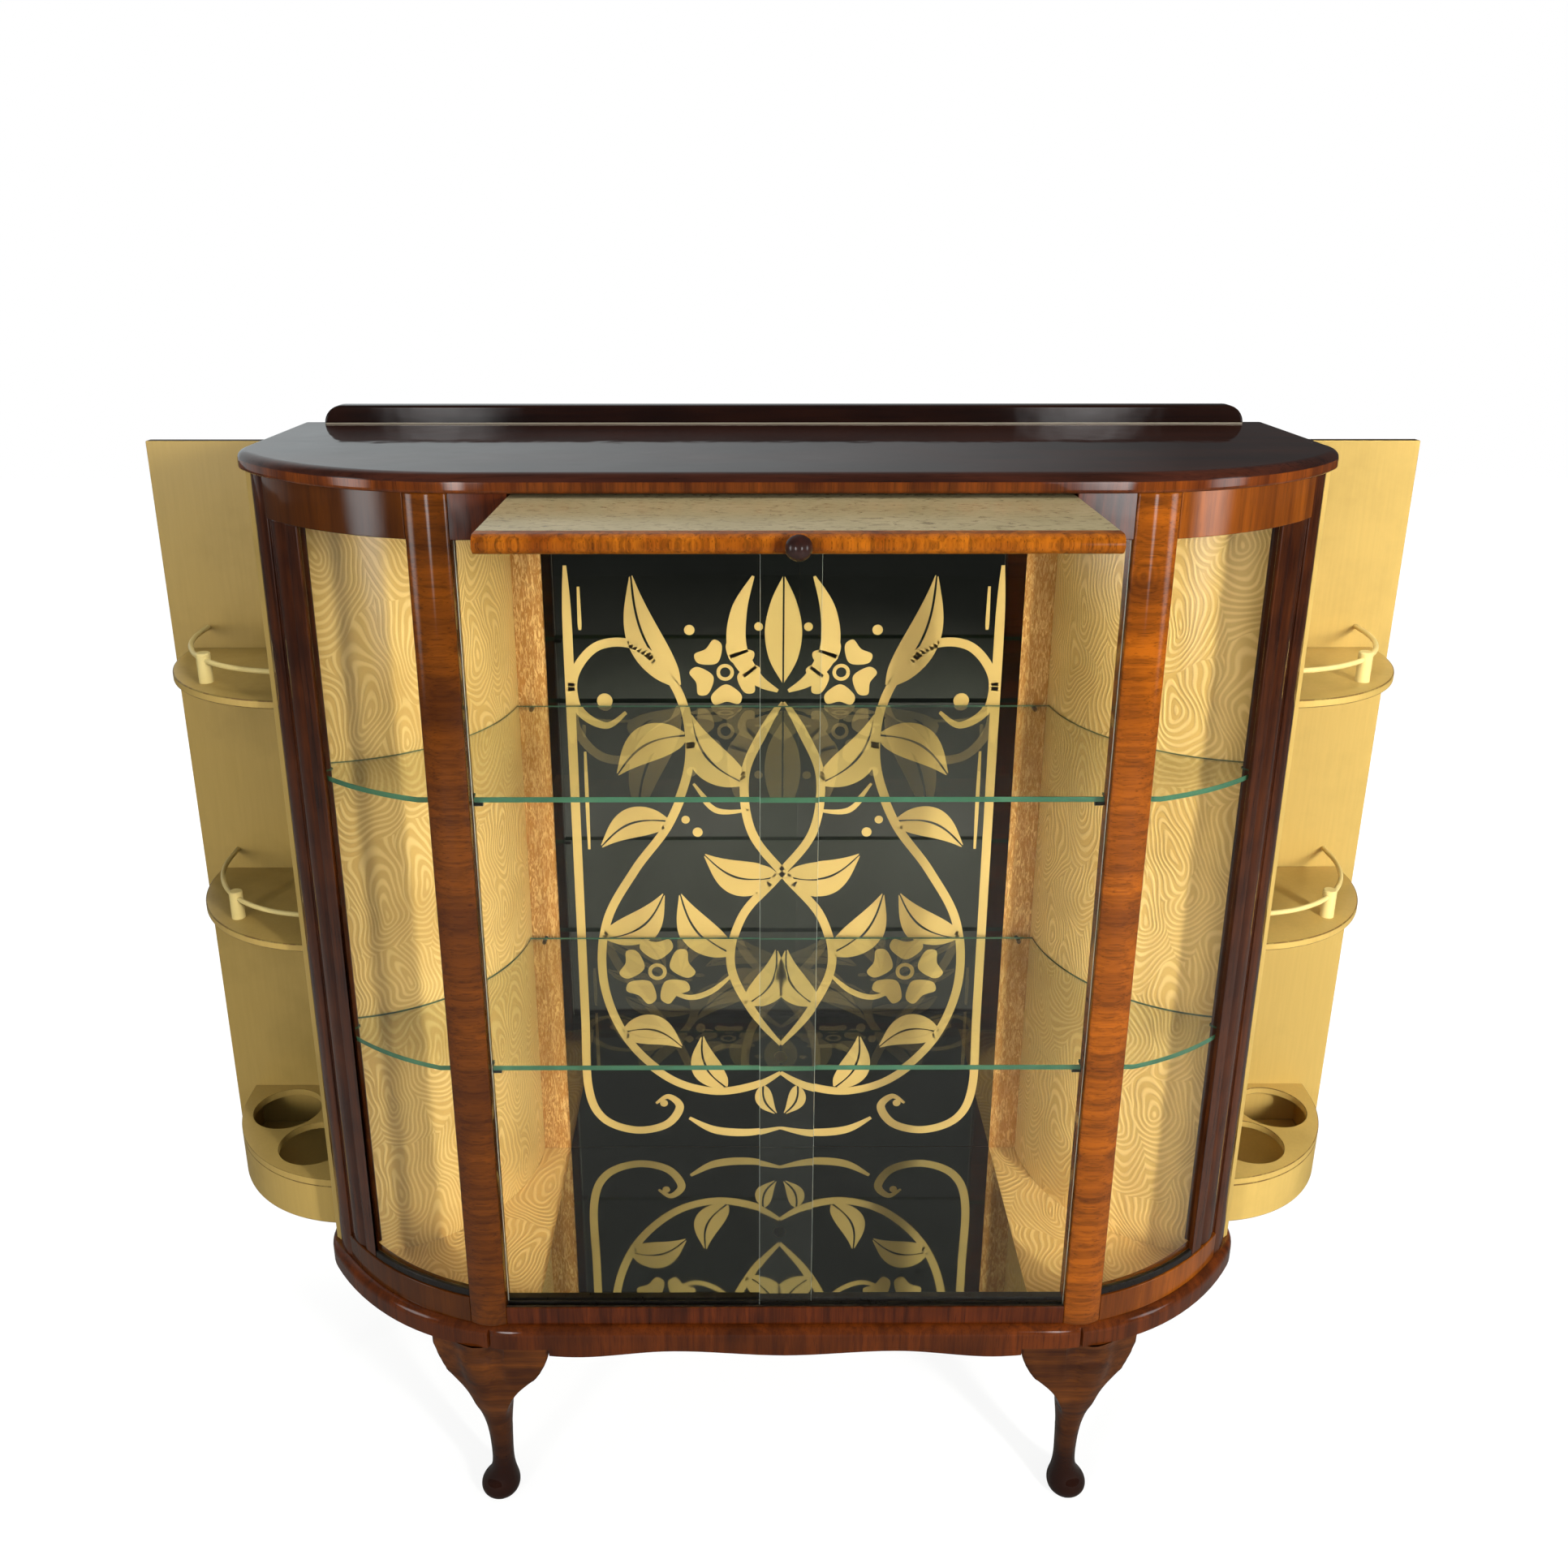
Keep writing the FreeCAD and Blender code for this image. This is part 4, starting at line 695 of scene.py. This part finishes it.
class CABINET_OT_stage(bpy.types.Operator):
    """Pale floor, soft lamps, white surroundings and the camera"""
    bl_idname = "cabinet.stage"
    bl_label = "Stage and lamps"

    def execute(self, context):
        scene = context.scene
        studio = scene.cabinet_studio
        scene.view_settings.view_transform = "Standard"
        scene.cycles.max_bounces = 24
        scene.cycles.transmission_bounces = 20
        scene.cycles.glossy_bounces = 8
        scene.cycles.transparent_max_bounces = 32
        self.floor()
        self.surroundings(scene, studio)
        middle = Vector((0.0, 0.05, 0.68))
        self.lamp("key_lamp", (1.6, -2.2, 1.55), middle, 0.3, 1.2, studio.key_power, mirrored=False)
        self.lamp("fill_lamp", (-1.45, -2.25, 1.15), middle, 0.5, 1.4, studio.fill_power, mirrored=False)
        for name, side in SIDES:
            self.lamp(name + "_window", (side * 0.95, -2.35, 1.05), middle, 0.55, 1.5, studio.window_power)
            self.lamp(name + "_side_lamp", (side * 2.2, -1.1, 1.0), middle, 0.9, 1.7, studio.side_power)
            self.lamp(name + "_back_lamp", (side * 1.6, 2.3, 1.4), middle, 0.9, 1.5, studio.back_power,
                      mirrored=False)
        self.lamp("overhead_lamp", (0.0, 0.2, 3.1), middle, 2.6, 2.0, studio.top_power, mirrored=False)
        camera = bpy.data.cameras.new("viewpoint")
        camera.lens = 31.30
        camera.sensor_width = 36.0
        camera.shift_x = 0.01754
        camera.shift_y = -0.04783
        eye = bpy.data.objects.new("viewpoint", camera)
        scene.collection.objects.link(eye)
        eye.location = (-0.03436, -1.26914, 1.35517)
        eye.rotation_euler = (math.pi / 2 - 0.3296, 0.0, -0.0027)
        scene.camera = eye
        return {"FINISHED"}

    def seen_plainly(self, tree):
        """1 for what the camera sees straight or through glass, 0 for what a mirror or lamp adds."""
        rays = add(tree, "LightPath")
        clear = add(tree, "Math", [rays.outputs["Is Camera Ray"], rays.outputs["Is Transmission Ray"]],
                    operation="MAXIMUM")
        bounced = add(tree, "Math", [rays.outputs["Glossy Depth"], rays.outputs["Diffuse Depth"]])
        first = add(tree, "Math", [bounced, 0.5], operation="LESS_THAN")
        return add(tree, "Math", [clear, first], operation="MULTIPLY")

    def floor(self):
        """Floor that looks white and keeps a faint shadow, with painted shade where its glow dims near the
        cabinet, yet mirrors darker in the glass.
        """
        bpy.ops.object.select_all(action="DESELECT")
        bpy.ops.mesh.primitive_grid_add(x_subdivisions=8, y_subdivisions=8, size=14.0)
        floor = bpy.context.active_object
        floor.name = "studio_floor"
        material, tree, place = surface("pale_studio_floor", Roughness=0.9, IOR=1.3,
                                        Base_Color=(0.16, 0.158, 0.15, 1.0),
                                        Emission_Color=(1.0, 1.0, 1.0, 1.0))
        speck = add(tree, "TexNoise", {"Vector": place, "Scale": 40.0, "Detail": 2.0})
        bump = add(tree, "Bump", {"Height": speck, "Strength": 0.02, "Distance": 0.001})
        # painted shade: the floor's glow dims towards the cabinet so that it reads darker round it
        away = add(tree, "VectorMath", [place], operation="LENGTH")
        glow = add(tree, "MapRange", [away, 0.5, 2.2, 0.85, 0.97])
        seen = add(tree, "Math", [self.seen_plainly(tree), glow], operation="MULTIPLY")
        floor.data.materials.append(finished(material, {"Normal": bump, "Emission Strength": seen}))

    def surroundings(self, scene, studio):
        """White where it is seen, dim in front and bright behind where the polish mirrors it."""
        world = bpy.data.worlds.new("studio_surroundings")
        scene.world = world
        world.use_nodes = True
        tree = world.node_tree
        tree.nodes.clear()
        rays = add(tree, "LightPath")
        mirrors = add(tree, "Math", [rays.outputs["Glossy Depth"], 0.5], operation="GREATER_THAN")
        way = add(tree, "SeparateXYZ", [add(tree, "TexCoord").outputs["Generated"]])
        left = add(tree, "MapRange", [way.outputs["X"], -0.4, 0.3, 0.58, 0.05])
        mirrored = add(tree, "MapRange", [way.outputs["Y"], 0.1, 0.6, 0.05, left])
        unseen = add(tree, "Mix", {0: mirrors, 2: studio.surround, 3: mirrored})
        plain = self.seen_plainly(tree)
        strength = add(tree, "Mix", {0: plain, 2: unseen, 3: 1.0})
        tint = add(tree, "Mix", {0: plain, 6: (0.9, 0.98, 1.0, 1.0), 7: (1.0, 1.0, 1.0, 1.0)},
                   data_type="RGBA")
        back = add(tree, "Background", {"Color": tint, "Strength": strength})
        add(tree, "OutputWorld", {"Surface": back})

    def lamp(self, name, place, target, width, height, power, mirrored=True):
        """Soft box that fades from its middle to its edges; a mirror behind glass shows it faintly."""
        light = bpy.data.lights.new(name, "AREA")
        light.shape = "RECTANGLE"
        light.size = width
        light.size_y = height
        light.energy = power
        light.use_nodes = True
        tree = light.node_tree
        tree.nodes.clear()
        across = add(tree, "NewGeometry").outputs["Parametric"]
        centred = add(tree, "VectorMath", [across, (0.5, 0.5, 0.0)], operation="SUBTRACT")
        out = add(tree, "VectorMath", [centred], operation="LENGTH")
        fade = add(tree, "MapRange", [out, 0.1, 0.5, 1.0, 0.0], interpolation_type="SMOOTHSTEP")
        if mirrored:
            depth = add(tree, "LightPath").outputs["Transmission Depth"]
            behind_glass = add(tree, "MapRange", [depth, 0.0, 1.0, 1.0, 0.1])
            fade = add(tree, "Math", [fade, behind_glass], operation="MULTIPLY")
        glow = add(tree, "Emission", {"Strength": fade})
        add(tree, "OutputLight", {"Surface": glow})
        lamp = bpy.data.objects.new(name, light)
        bpy.context.scene.collection.objects.link(lamp)
        lamp.location = place
        lamp.rotation_euler = (target - Vector(place)).to_track_quat("-Z", "Y").to_euler()
        lamp.visible_camera = False
        lamp.visible_glossy = mirrored


def top_zone(centre, normal):
    """Flat and dark nose of the top, and the banding under the nose."""
    return 0 if centre.z > TOP_HIGH.z - 8.0 * MM else 1


class CABINET_OT_top(bpy.types.Operator):
    """Polished top with its banded edge, and the gallery along its back"""
    bl_idname = "cabinet.top"
    bl_label = "Top and gallery"

    def execute(self, context):
        dressed("top_board", [top_veneer, crossband_bright], arris=0, pick=top_zone, angle=60)
        dressed("back_gallery", gallery_hardwood)
        return {"FINISHED"}


class CABINET_OT_base(bpy.types.Operator):
    """Base board with its banded nose, and the waved apron"""
    bl_idname = "cabinet.base"
    bl_label = "Base and apron"

    def execute(self, context):
        dressed("base_board", base_walnut, arris=0, angle=60)
        dressed("front_apron", base_walnut, arris=0.5 * MM)
        return {"FINISHED"}


class CABINET_OT_uprights(bpy.types.Operator):
    """Columns, reeded side posts and the painted jamb strips behind them"""
    bl_idname = "cabinet.uprights"
    bl_label = "Columns and posts"

    def execute(self, context):
        for side in ("left", "right"):
            dressed(side + "_column", column_veneer, arris=1.6 * MM)
            dressed(side + "_side_post", stained_hardwood)
        dressed("jamb_strips", cream_lacquer)
        return {"FINISHED"}


class CABINET_OT_rails(bpy.types.Operator):
    """Friezes under the top and rails over the base, with the track of the doors"""
    bl_idname = "cabinet.rails"
    bl_label = "Friezes and rails"

    def execute(self, context):
        dressed("centre_frieze", frieze_veneer)
        dressed("front_rail", frieze_veneer)
        dressed("door_track", track_black, arris=0.4 * MM)
        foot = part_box("right_curved_rail")[1].z + 12 * MM
        dressed("glazing_beads", [bead_black, stained_hardwood], arris=1.2 * MM,
                pick=lambda centre, normal: 1 if centre.z > foot else 0)
        for side in ("left", "right"):
            dressed(side + "_curved_frieze", crossband)
            dressed(side + "_curved_rail", crossband)
        return {"FINISHED"}


def edge_zone(centre, normal):
    """Level faces of a glass shelf are clear, its cut edges are green."""
    return 0 if abs(normal.z) > 0.8 else 1


def door_edge_zone(centre, normal):
    return 0 if abs(normal.y) > 0.8 else 1


class CABINET_OT_glass(bpy.types.Operator):
    """Bent glasses, sliding doors and shelves with their pegs"""
    bl_idname = "cabinet.glass"
    bl_label = "Glass"

    def execute(self, context):
        fine = sizes().glass_arris
        for side in ("left", "right"):
            dressed(side + "_curved_glass", clear_glass, arris=0, angle=30)
            dressed(side + "_glass_door", [clear_glass, door_glass_edge], arris=fine, pick=door_edge_zone)
        for level in ("upper", "lower"):
            dressed(level + "_glass_shelf", [clear_glass, glass_edge], arris=fine, pick=edge_zone)
        dressed("shelf_pegs", track_black, arris=0)
        return {"FINISHED"}


class CABINET_OT_lining(bpy.types.Operator):
    """Embossed lining of the walls and floor, and the strips beside the mirror"""
    bl_idname = "cabinet.lining"
    bl_label = "Lining"

    def execute(self, context):
        for side, sign in SIDES:
            centre = Vector((sign * WALL_HIGH.x, WALL_HIGH.y, 0.0))
            radius = WALL_HIGH.y - WALL_LOW.y
            wall = dressed(side + "_curved_wall", [embossed_vinyl, cream_lacquer], arris=0, angle=30,
                           pick=lambda c, n: 0 if n.x * sign < -0.02 or n.y < -0.3 else 1)

            def around(co, normal):
                turn = math.atan2(abs(co.x - centre.x), centre.y - co.y)
                return (sign * turn * radius + sign * 0.4, co.z)
            lay_uv(wall, around)
        floor = dressed("floor_lining", embossed_vinyl, arris=0)
        lay_uv(floor, lambda co, normal: (co.x + 0.17, co.y + 0.9))
        dressed("back_strips", flecked_vinyl, arris=0.3 * MM)
        return {"FINISHED"}


def leaf(x0, z0, x1, z1, bend, wide):
    """A curved pointed leaf between two points, slit along its middle rib."""
    rib = math.hypot(x1 - x0, z1 - z0)
    ux, uz = (x1 - x0) / rib, (z1 - z0) / rib
    shapes = []
    for side in (1, -1):
        points = []
        for step in range(9):
            t = step / 8
            half = wide / 2 * math.sin(math.pi * min(1.0, 0.04 + 0.96 * t ** 0.8))
            off = bend * math.sin(math.pi * t) + side * (1.4 + half / 2)
            points.append((x0 + ux * rib * t - uz * off, z0 + uz * rib * t + ux * off, max(half, 1.0)))
        shapes.extend(band(points, 4))
    return shapes


def rosette(cx, cz, size, turn=0.3):
    """A flower seen from the front: five notched petals round a ring."""
    outline = [(0.36, 0.0), (0.48, 0.24), (0.72, 0.44), (0.96, 0.34), (0.88, 0.0), (0.96, -0.34),
               (0.72, -0.44), (0.48, -0.24)]
    shapes = [placed(spline(outline, True, 4), cx, cz, size, turn + 2 * math.pi * i / 5) for i in range(5)]
    ring = [(cx + size * 0.2 * math.cos(a), cz + size * 0.2 * math.sin(a), size * 0.1)
            for a in (2 * math.pi * k / 12 for k in range(13))]
    return shapes + band(ring, 3)


def berry(cx, cz, size):
    return [[(cx + size * math.cos(a), cz + size * math.sin(a))
             for a in (2 * math.pi * k / 14 for k in range(14))]]


def spline(points, closed=False, steps=10):
    """Points of a smooth curve through the given ones."""
    result = []
    count = len(points)
    spans = count if closed else count - 1
    for i in range(spans):
        if closed:
            p = [points[(i + k - 1) % count] for k in range(4)]
        else:
            p = [points[max(i - 1, 0)], points[i], points[i + 1], points[min(i + 2, count - 1)]]
        for step in range(steps):
            t = step / steps
            result.append(tuple(0.5 * (2 * p[1][k] + (p[2][k] - p[0][k]) * t
                                       + (2 * p[0][k] - 5 * p[1][k] + 4 * p[2][k] - p[3][k]) * t * t
                                       + (3 * p[1][k] - p[0][k] - 3 * p[2][k] + p[3][k]) * t ** 3)
                                for k in range(len(points[0]))))
    if not closed:
        result.append(tuple(points[-1]))
    return result


def band(points, steps=10):
    """Quads of a band that follows points given as x, z and width."""
    run = spline(points, steps=steps)
    sides = []
    for i, (x, z, width) in enumerate(run):
        ahead, behind = run[min(i + 1, len(run) - 1)], run[max(i - 1, 0)]
        dx, dz = ahead[0] - behind[0], ahead[1] - behind[1]
        size = math.hypot(dx, dz) or 1.0
        half = width / 2
        sides.append(((x - dz / size * half, z + dx / size * half),
                      (x + dz / size * half, z - dx / size * half)))
    return [[sides[i][0], sides[i][1], sides[i + 1][1], sides[i + 1][0]] for i in range(len(sides) - 1)]


def placed(outline, cx, cz, size, turn):
    cos, sin = math.cos(turn) * size, math.sin(turn) * size
    return [(cx + x * cos - z * sin, cz + x * sin + z * cos) for x, z in outline]


def ornament_shapes():
    """Right half of the gold design, in millimetres from the foot of the mirror's middle line."""
    w = sizes().ornament_line / MM
    fine = 0.42 * w
    lines = [
        # lyre arm that rises from the foot and curls in at the top
        [(0, 112, 5), (34, 92, w), (86, 84, w), (142, 104, w), (192, 158, w), (218, 236, w),
         (212, 322, w), (176, 392, w), (132, 456, w), (108, 532, w), (118, 612, w), (160, 668, w),
         (208, 672, w), (238, 636, w), (234, 592, w), (204, 572, 8), (180, 588, 4)],
        # outer line with a volute at its foot
        [(243, 764, 4), (243, 700, w), (243, 540, w), (243, 420, w), (243, 300, w), (243, 190, w),
         (243, 90, w), (226, 44, w), (186, 26, w), (146, 34, w), (128, 60, w), (142, 76, 7), (158, 66, 3)],
        [(0, 30, 4), (40, 22, w), (84, 26, w), (116, 44, 4)],
        # stems that cross on the middle line
        [(0, 150, 5), (36, 198, w), (62, 262, w), (48, 330, w), (4, 386, w), (-36, 442, w),
         (-44, 510, w), (-22, 566, w), (0, 604, 5)],
        [(58, 250, 3), (84, 226, 7), (112, 216, 7), (140, 226, 3)],
        [(-40, 470, 3), (-78, 470, 7), (-104, 500, 3)],
        # fine inner line beside the outer one
        [(229, 740, 3), (229, 700, fine), (229, 690, 3)],
        [(229, 540, 3), (229, 480, fine), (229, 420, 3)],
    ]
    shapes = []
    for points in lines:
        shapes.extend(band(points))
    shapes.extend(rosette(152, 252, 46))
    shapes.extend(rosette(66, 640, 40, 0.9))
    for row in ((198, 166, 124, 146, -14, 40), (216, 300, 142, 360, 16, 42),
                (60, 276, 122, 360, -14, 44), (6, 384, 92, 412, -16, 44), (-44, 500, -106, 584, 16, 42),
                (112, 560, 192, 512, 14, 42), (134, 456, 214, 424, 14, 36), (42, 206, 6, 282, 14, 38),
                (120, 624, 170, 752, -14, 38), (70, 90, 98, 160, -12, 34), (22, 92, 6, 52, 6, 20)):
        shapes.extend(leaf(*row))
    for cx, cz, size in ((204, 606, 9), (100, 442, 6), (114, 458, 5), (0, 132, 8), (148, 66, 5),
                         (28, 694, 5), (106, 690, 6)):
        shapes.extend(berry(cx, cz, size))
    # half of the tulip at the head of the middle line
    shapes.append(spline([(1, 628), (16, 656), (21, 690), (14, 724), (1, 752)], False, 5))
    shapes.extend(band([(6, 618, 4), (32, 634, 16), (52, 668, 22), (50, 712, 18), (34, 752, 3)]))
    return shapes


def gilding(name, shapes, thick):
    """Thin raised gilding in front of the mirror, from flat shapes mirrored left and right."""
    face = MIRROR_LOW.y - thick
    bm = bmesh.new()
    for side in (1, -1):
        for number, shape in enumerate(shapes):
            # shapes that cross lie in seven slightly different planes
            lift = (number % 7) * 0.01 * MM
            bm.faces.new([bm.verts.new((side * x * MM, face - lift, MIRROR_LOW.z + z * MM))
                          for x, z in shape])
    bmesh.ops.recalc_face_normals(bm, faces=bm.faces)
    for face in bm.faces:
        if face.normal.y > 0:
            face.normal_flip()
    piece = built(name, bm)
    select_only(piece)
    change(piece, "SOLIDIFY", thickness=thick, offset=-1.0)
    paint(piece, gilt_line)
    settle(piece, "carcass", "brass")


class CABINET_OT_mirrors(bpy.types.Operator):
    """Back mirror with its gold design, and the mirror on the floor"""
    bl_idname = "cabinet.mirrors"
    bl_label = "Mirrors"

    def execute(self, context):
        dressed("back_mirror", smoked_mirror, arris=0.3 * MM)
        dressed("floor_mirror", bright_mirror, arris=0.3 * MM)
        gilding("mirror_gilding", ornament_shapes(), sizes().ornament_thick)
        return {"FINISHED"}


class CABINET_OT_slide(bpy.types.Operator):
    """Serving slide with its laminate, banded lip, knob, stop and runners"""
    bl_idname = "cabinet.slide"
    bl_label = "Serving slide"

    def execute(self, context):
        dressed("slide_board", plain_board)
        dressed("slide_laminate", mottled_laminate, arris=0.3 * MM)
        dressed("slide_lip", lip_walnut, arris=0.4 * MM)
        dressed("slide_knob", turned_knob, arris=0, angle=50)
        dressed("slide_stop", plain_board)
        dressed("slide_runners", plain_board)
        return {"FINISHED"}


def wing_zone(centre, normal):
    """Painted inside, veneered outside, rubbed edge on top."""
    if normal.y < -0.5:
        return 0
    return 1 if normal.y > 0.5 else 2


def rim_zone(centre, normal):
    """Faces of a painted board, and the arrises between them."""
    return 1 if 0.25 < abs(normal.z) < 0.97 else 0


class CABINET_OT_wings(bpy.types.Operator):
    """Wing panels with shelves, rails and bottle racks"""
    bl_idname = "cabinet.wings"
    bl_label = "Wings"

    def execute(self, context):
        soft = sizes().paint_arris
        for side in ("left", "right"):
            dressed(side + "_wing_panel", [cream_lacquer, column_veneer, dark_edge], arris=soft,
                    pick=wing_zone)
            for part in ("wing_shelves", "rack_plate", "rack_skirt", "rack_floor"):
                dressed(side + "_" + part, [cream_lacquer, rubbed_rim], arris=soft, pick=rim_zone)
            dressed(side + "_wing_rails", rail_lacquer, arris=0, angle=35)
        return {"FINISHED"}


def screw_mesh(radius):
    """Slotted countersunk head that stands a little proud, facing +z."""
    half_slot, slot_deep, rim_deep = 0.16 * radius, 0.2 * radius, 0.25 * radius
    bpy.ops.object.select_all(action="DESELECT")
    bpy.ops.mesh.primitive_circle_add(vertices=20, radius=radius, fill_type="NGON")
    head = bpy.context.active_object
    bpy.ops.object.mode_set(mode="EDIT")
    for side in (1, -1):
        bpy.ops.mesh.select_all(action="SELECT")
        bpy.ops.mesh.bisect(plane_co=(side * half_slot, 0, 0), plane_no=(1, 0, 0))
    bpy.ops.object.mode_set(mode="OBJECT")
    bm = bmesh.new()
    bm.from_mesh(head.data)
    slot = [face for face in bm.faces if abs(face.calc_center_median().x) < half_slot / 2]
    rim = [edge for edge in bm.edges if edge.is_boundary]
    wall = bmesh.ops.extrude_edge_only(bm, edges=rim)["geom"]
    for vert in (item for item in wall if isinstance(item, bmesh.types.BMVert)):
        vert.co.z -= rim_deep
    sunk = bmesh.ops.extrude_face_region(bm, geom=slot)["geom"]
    for vert in (item for item in sunk if isinstance(item, bmesh.types.BMVert)):
        vert.co.z -= slot_deep
    bmesh.ops.delete(bm, geom=slot, context="FACES_ONLY")
    bmesh.ops.recalc_face_normals(bm, faces=bm.faces)
    bm.to_mesh(head.data)
    bm.free()
    mesh = head.data.copy()
    bpy.data.objects.remove(head)
    return mesh


def screws(name, mesh, places, body):
    """Screws at some places, each turned about its own axis."""
    bm = bmesh.new()
    for spot, turn, angle in places:
        part = mesh.copy()
        part.transform(Matrix.Translation(spot) @ turn @ Matrix.Rotation(angle, 4, "Z"))
        bm.from_mesh(part)
        bpy.data.meshes.remove(part)
    piece = built(name, bm)
    smooth(piece, 30, weighted=False)
    paint(piece, aged_brass)
    settle(piece, body, "brass")


FACING_BACK = Matrix.Rotation(-math.pi / 2, 4, "X")


class CABINET_OT_hinges(bpy.types.Operator):
    """Brass hinges with their pins and slotted screws"""
    bl_idname = "cabinet.hinges"
    bl_label = "Hinges"

    def execute(self, context):
        for node in ("fixed_hinge_leaves", "left_wing_hinge_leaves", "right_wing_hinge_leaves"):
            dressed(node, aged_brass, arris=0.2 * MM)
        dressed("hinge_pins", aged_brass, arris=0.3 * MM)
        mesh = screw_mesh(sizes().screw_radius)
        low, high, tall = LEAF_LOW.z, LEAF_HIGH.z, 50 * MM
        starts = (low, (low + high - tall) / 2, high - tall)
        pin_radius, thick, proud = 3 * MM, 1.2 * MM, 0.5 * MM
        stile_face = BACK_HIGH.y + 3 * MM
        fixed = []
        for start in starts:
            for rise, across in ((9, 13), (25, 16), (41, 13)):
                for side in (1, -1):
                    spot = Vector((side * (LEAF_HIGH.x - pin_radius - across * MM),
                                   stile_face + thick + proud, start + rise * MM))
                    fixed.append((spot, FACING_BACK, 0.7 * rise + side))
        screws("hinge_screws", mesh, fixed, "carcass")
        for name, side in SIDES:
            low_corner, high_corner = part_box(name + "_wing_hinge_leaves")
            face = (high_corner.x if side > 0 else low_corner.x) - side * (thick + proud)
            turn = Matrix.Rotation(-side * math.pi / 2, 4, "Y")
            moving = [(Vector((face, high_corner.y - 5 * MM, start + rise * MM)), turn, 0.9 * rise + side)
                      for start in starts for rise in (9, 25, 41)]
            screws(name + "_wing_screws", mesh, moving, name + "_wing")
        return {"FINISHED"}


class CABINET_OT_back(bpy.types.Operator):
    """Back panel, rear stiles and the boards behind the mirror"""
    bl_idname = "cabinet.back"
    bl_label = "Back"

    def execute(self, context):
        dressed("back_panel", hardboard, arris=0.4 * MM)
        dressed("rear_stiles", stained_hardwood)
        dressed("mirror_board", hardboard, arris=0.4 * MM)
        dressed("mirror_battens", plain_board)
        edge, gap, proud, head = 9 * MM, 150 * MM, 0.4 * MM, 2.4 * MM
        low = Vector((BACK_LOW.x + edge, 0.0, BACK_LOW.z + edge))
        high = Vector((BACK_HIGH.x - edge, 0.0, BACK_HIGH.z - edge))
        across = round((high.x - low.x) / gap)
        rise = round((high.z - low.z) / gap)
        spots = [(low.x + (high.x - low.x) * i / across, z)
                 for i in range(across + 1) for z in (low.z, high.z)]
        spots += [(x, low.z + (high.z - low.z) * i / rise)
                  for i in range(1, rise) for x in (low.x, high.x)]
        face = BACK_HIGH.y + proud
        screws("back_screws", screw_mesh(head),
               [(Vector((x, face, z)), FACING_BACK, 1.3 * i) for i, (x, z) in enumerate(spots)], "carcass")
        return {"FINISHED"}


class CABINET_OT_legs(bpy.types.Operator):
    """Cabriole legs with the ears beside their knees, carved in one"""
    bl_idname = "cabinet.legs"
    bl_label = "Legs"

    def execute(self, context):
        nodes = ("left_front_leg", "right_front_leg", "rear_legs", "leg_ears")
        bm = bmesh.new()
        for node in nodes:
            bm.from_mesh(NODES[node].data)
        bmesh.ops.remove_doubles(bm, verts=bm.verts, dist=0.002 * MM)
        piece = built("cabriole_legs", bm)
        select_only(piece)
        # swelling by 12 mm and shrinking again closes the hollows between leg and ears
        for swell in (12.0 * MM, -12.0 * MM):
            change(piece, "REMESH", mode="VOXEL", voxel_size=sizes().leg_grid)
            change(piece, "DISPLACE", mid_level=0.0, strength=swell)
        change(piece, "SMOOTH", factor=0.5, iterations=7)
        seat, pad, knee_low, knee_high = 3.0 * MM, 1.0 * MM, 0.42, 0.78
        knee = piece.vertex_groups.new(name="knee")
        knee.add([vert.index for vert in piece.data.vertices
                  if knee_low < vert.co.z / BASE_LOW.z < knee_high], 1.0, "REPLACE")
        change(piece, "SMOOTH", factor=0.5, iterations=110, vertex_group=knee.name)
        for vert in piece.data.vertices:
            if vert.co.z > BASE_LOW.z - seat:
                vert.co.z = BASE_LOW.z
            elif vert.co.z < pad:
                vert.co.z = 0.0
        smooth(piece, 60)
        paint(piece, leg_veneer)
        settle(piece, "carcass", SLOTS["rear_legs"], *nodes)
        return {"FINISHED"}


STEPS = (CABINET_OT_stage, CABINET_OT_top, CABINET_OT_base, CABINET_OT_uprights, CABINET_OT_rails,
         CABINET_OT_glass, CABINET_OT_lining, CABINET_OT_mirrors, CABINET_OT_slide, CABINET_OT_wings,
         CABINET_OT_hinges, CABINET_OT_back, CABINET_OT_legs)


class CABINET_PT_panel(bpy.types.Panel):
    """Lists the steps that dress the cabinet, with its sizes and colours"""
    bl_idname = "CABINET_PT_panel"
    bl_label = "Bar cabinet"
    bl_space_type = "VIEW_3D"
    bl_region_type = "UI"
    bl_category = "Cabinet"

    def draw(self, context):
        layout = self.layout
        for group in (context.scene.cabinet_sizes, context.scene.cabinet_colours,
                      context.scene.cabinet_studio):
            column = layout.column(align=True)
            for name in group.bl_rna.properties.keys():
                if name not in ("rna_type", "name"):
                    column.prop(group, name)
        for step in STEPS:
            layout.operator(step.bl_idname)


GROUPS = (CabinetSizes, CabinetColours, CabinetStudio)


def register():
    for item in GROUPS + STEPS + (CABINET_PT_panel,):
        bpy.utils.register_class(item)
    bpy.types.Scene.cabinet_sizes = PointerProperty(type=CabinetSizes)
    bpy.types.Scene.cabinet_colours = PointerProperty(type=CabinetColours)
    bpy.types.Scene.cabinet_studio = PointerProperty(type=CabinetStudio)


def unregister():
    del bpy.types.Scene.cabinet_sizes, bpy.types.Scene.cabinet_colours, bpy.types.Scene.cabinet_studio
    for item in reversed(GROUPS + STEPS + (CABINET_PT_panel,)):
        bpy.utils.unregister_class(item)


def main():
    register()
    for step in STEPS:
        group, name = step.bl_idname.split(".")
        getattr(getattr(bpy.ops, group), name)()


if __name__ == "__main__":
    main()
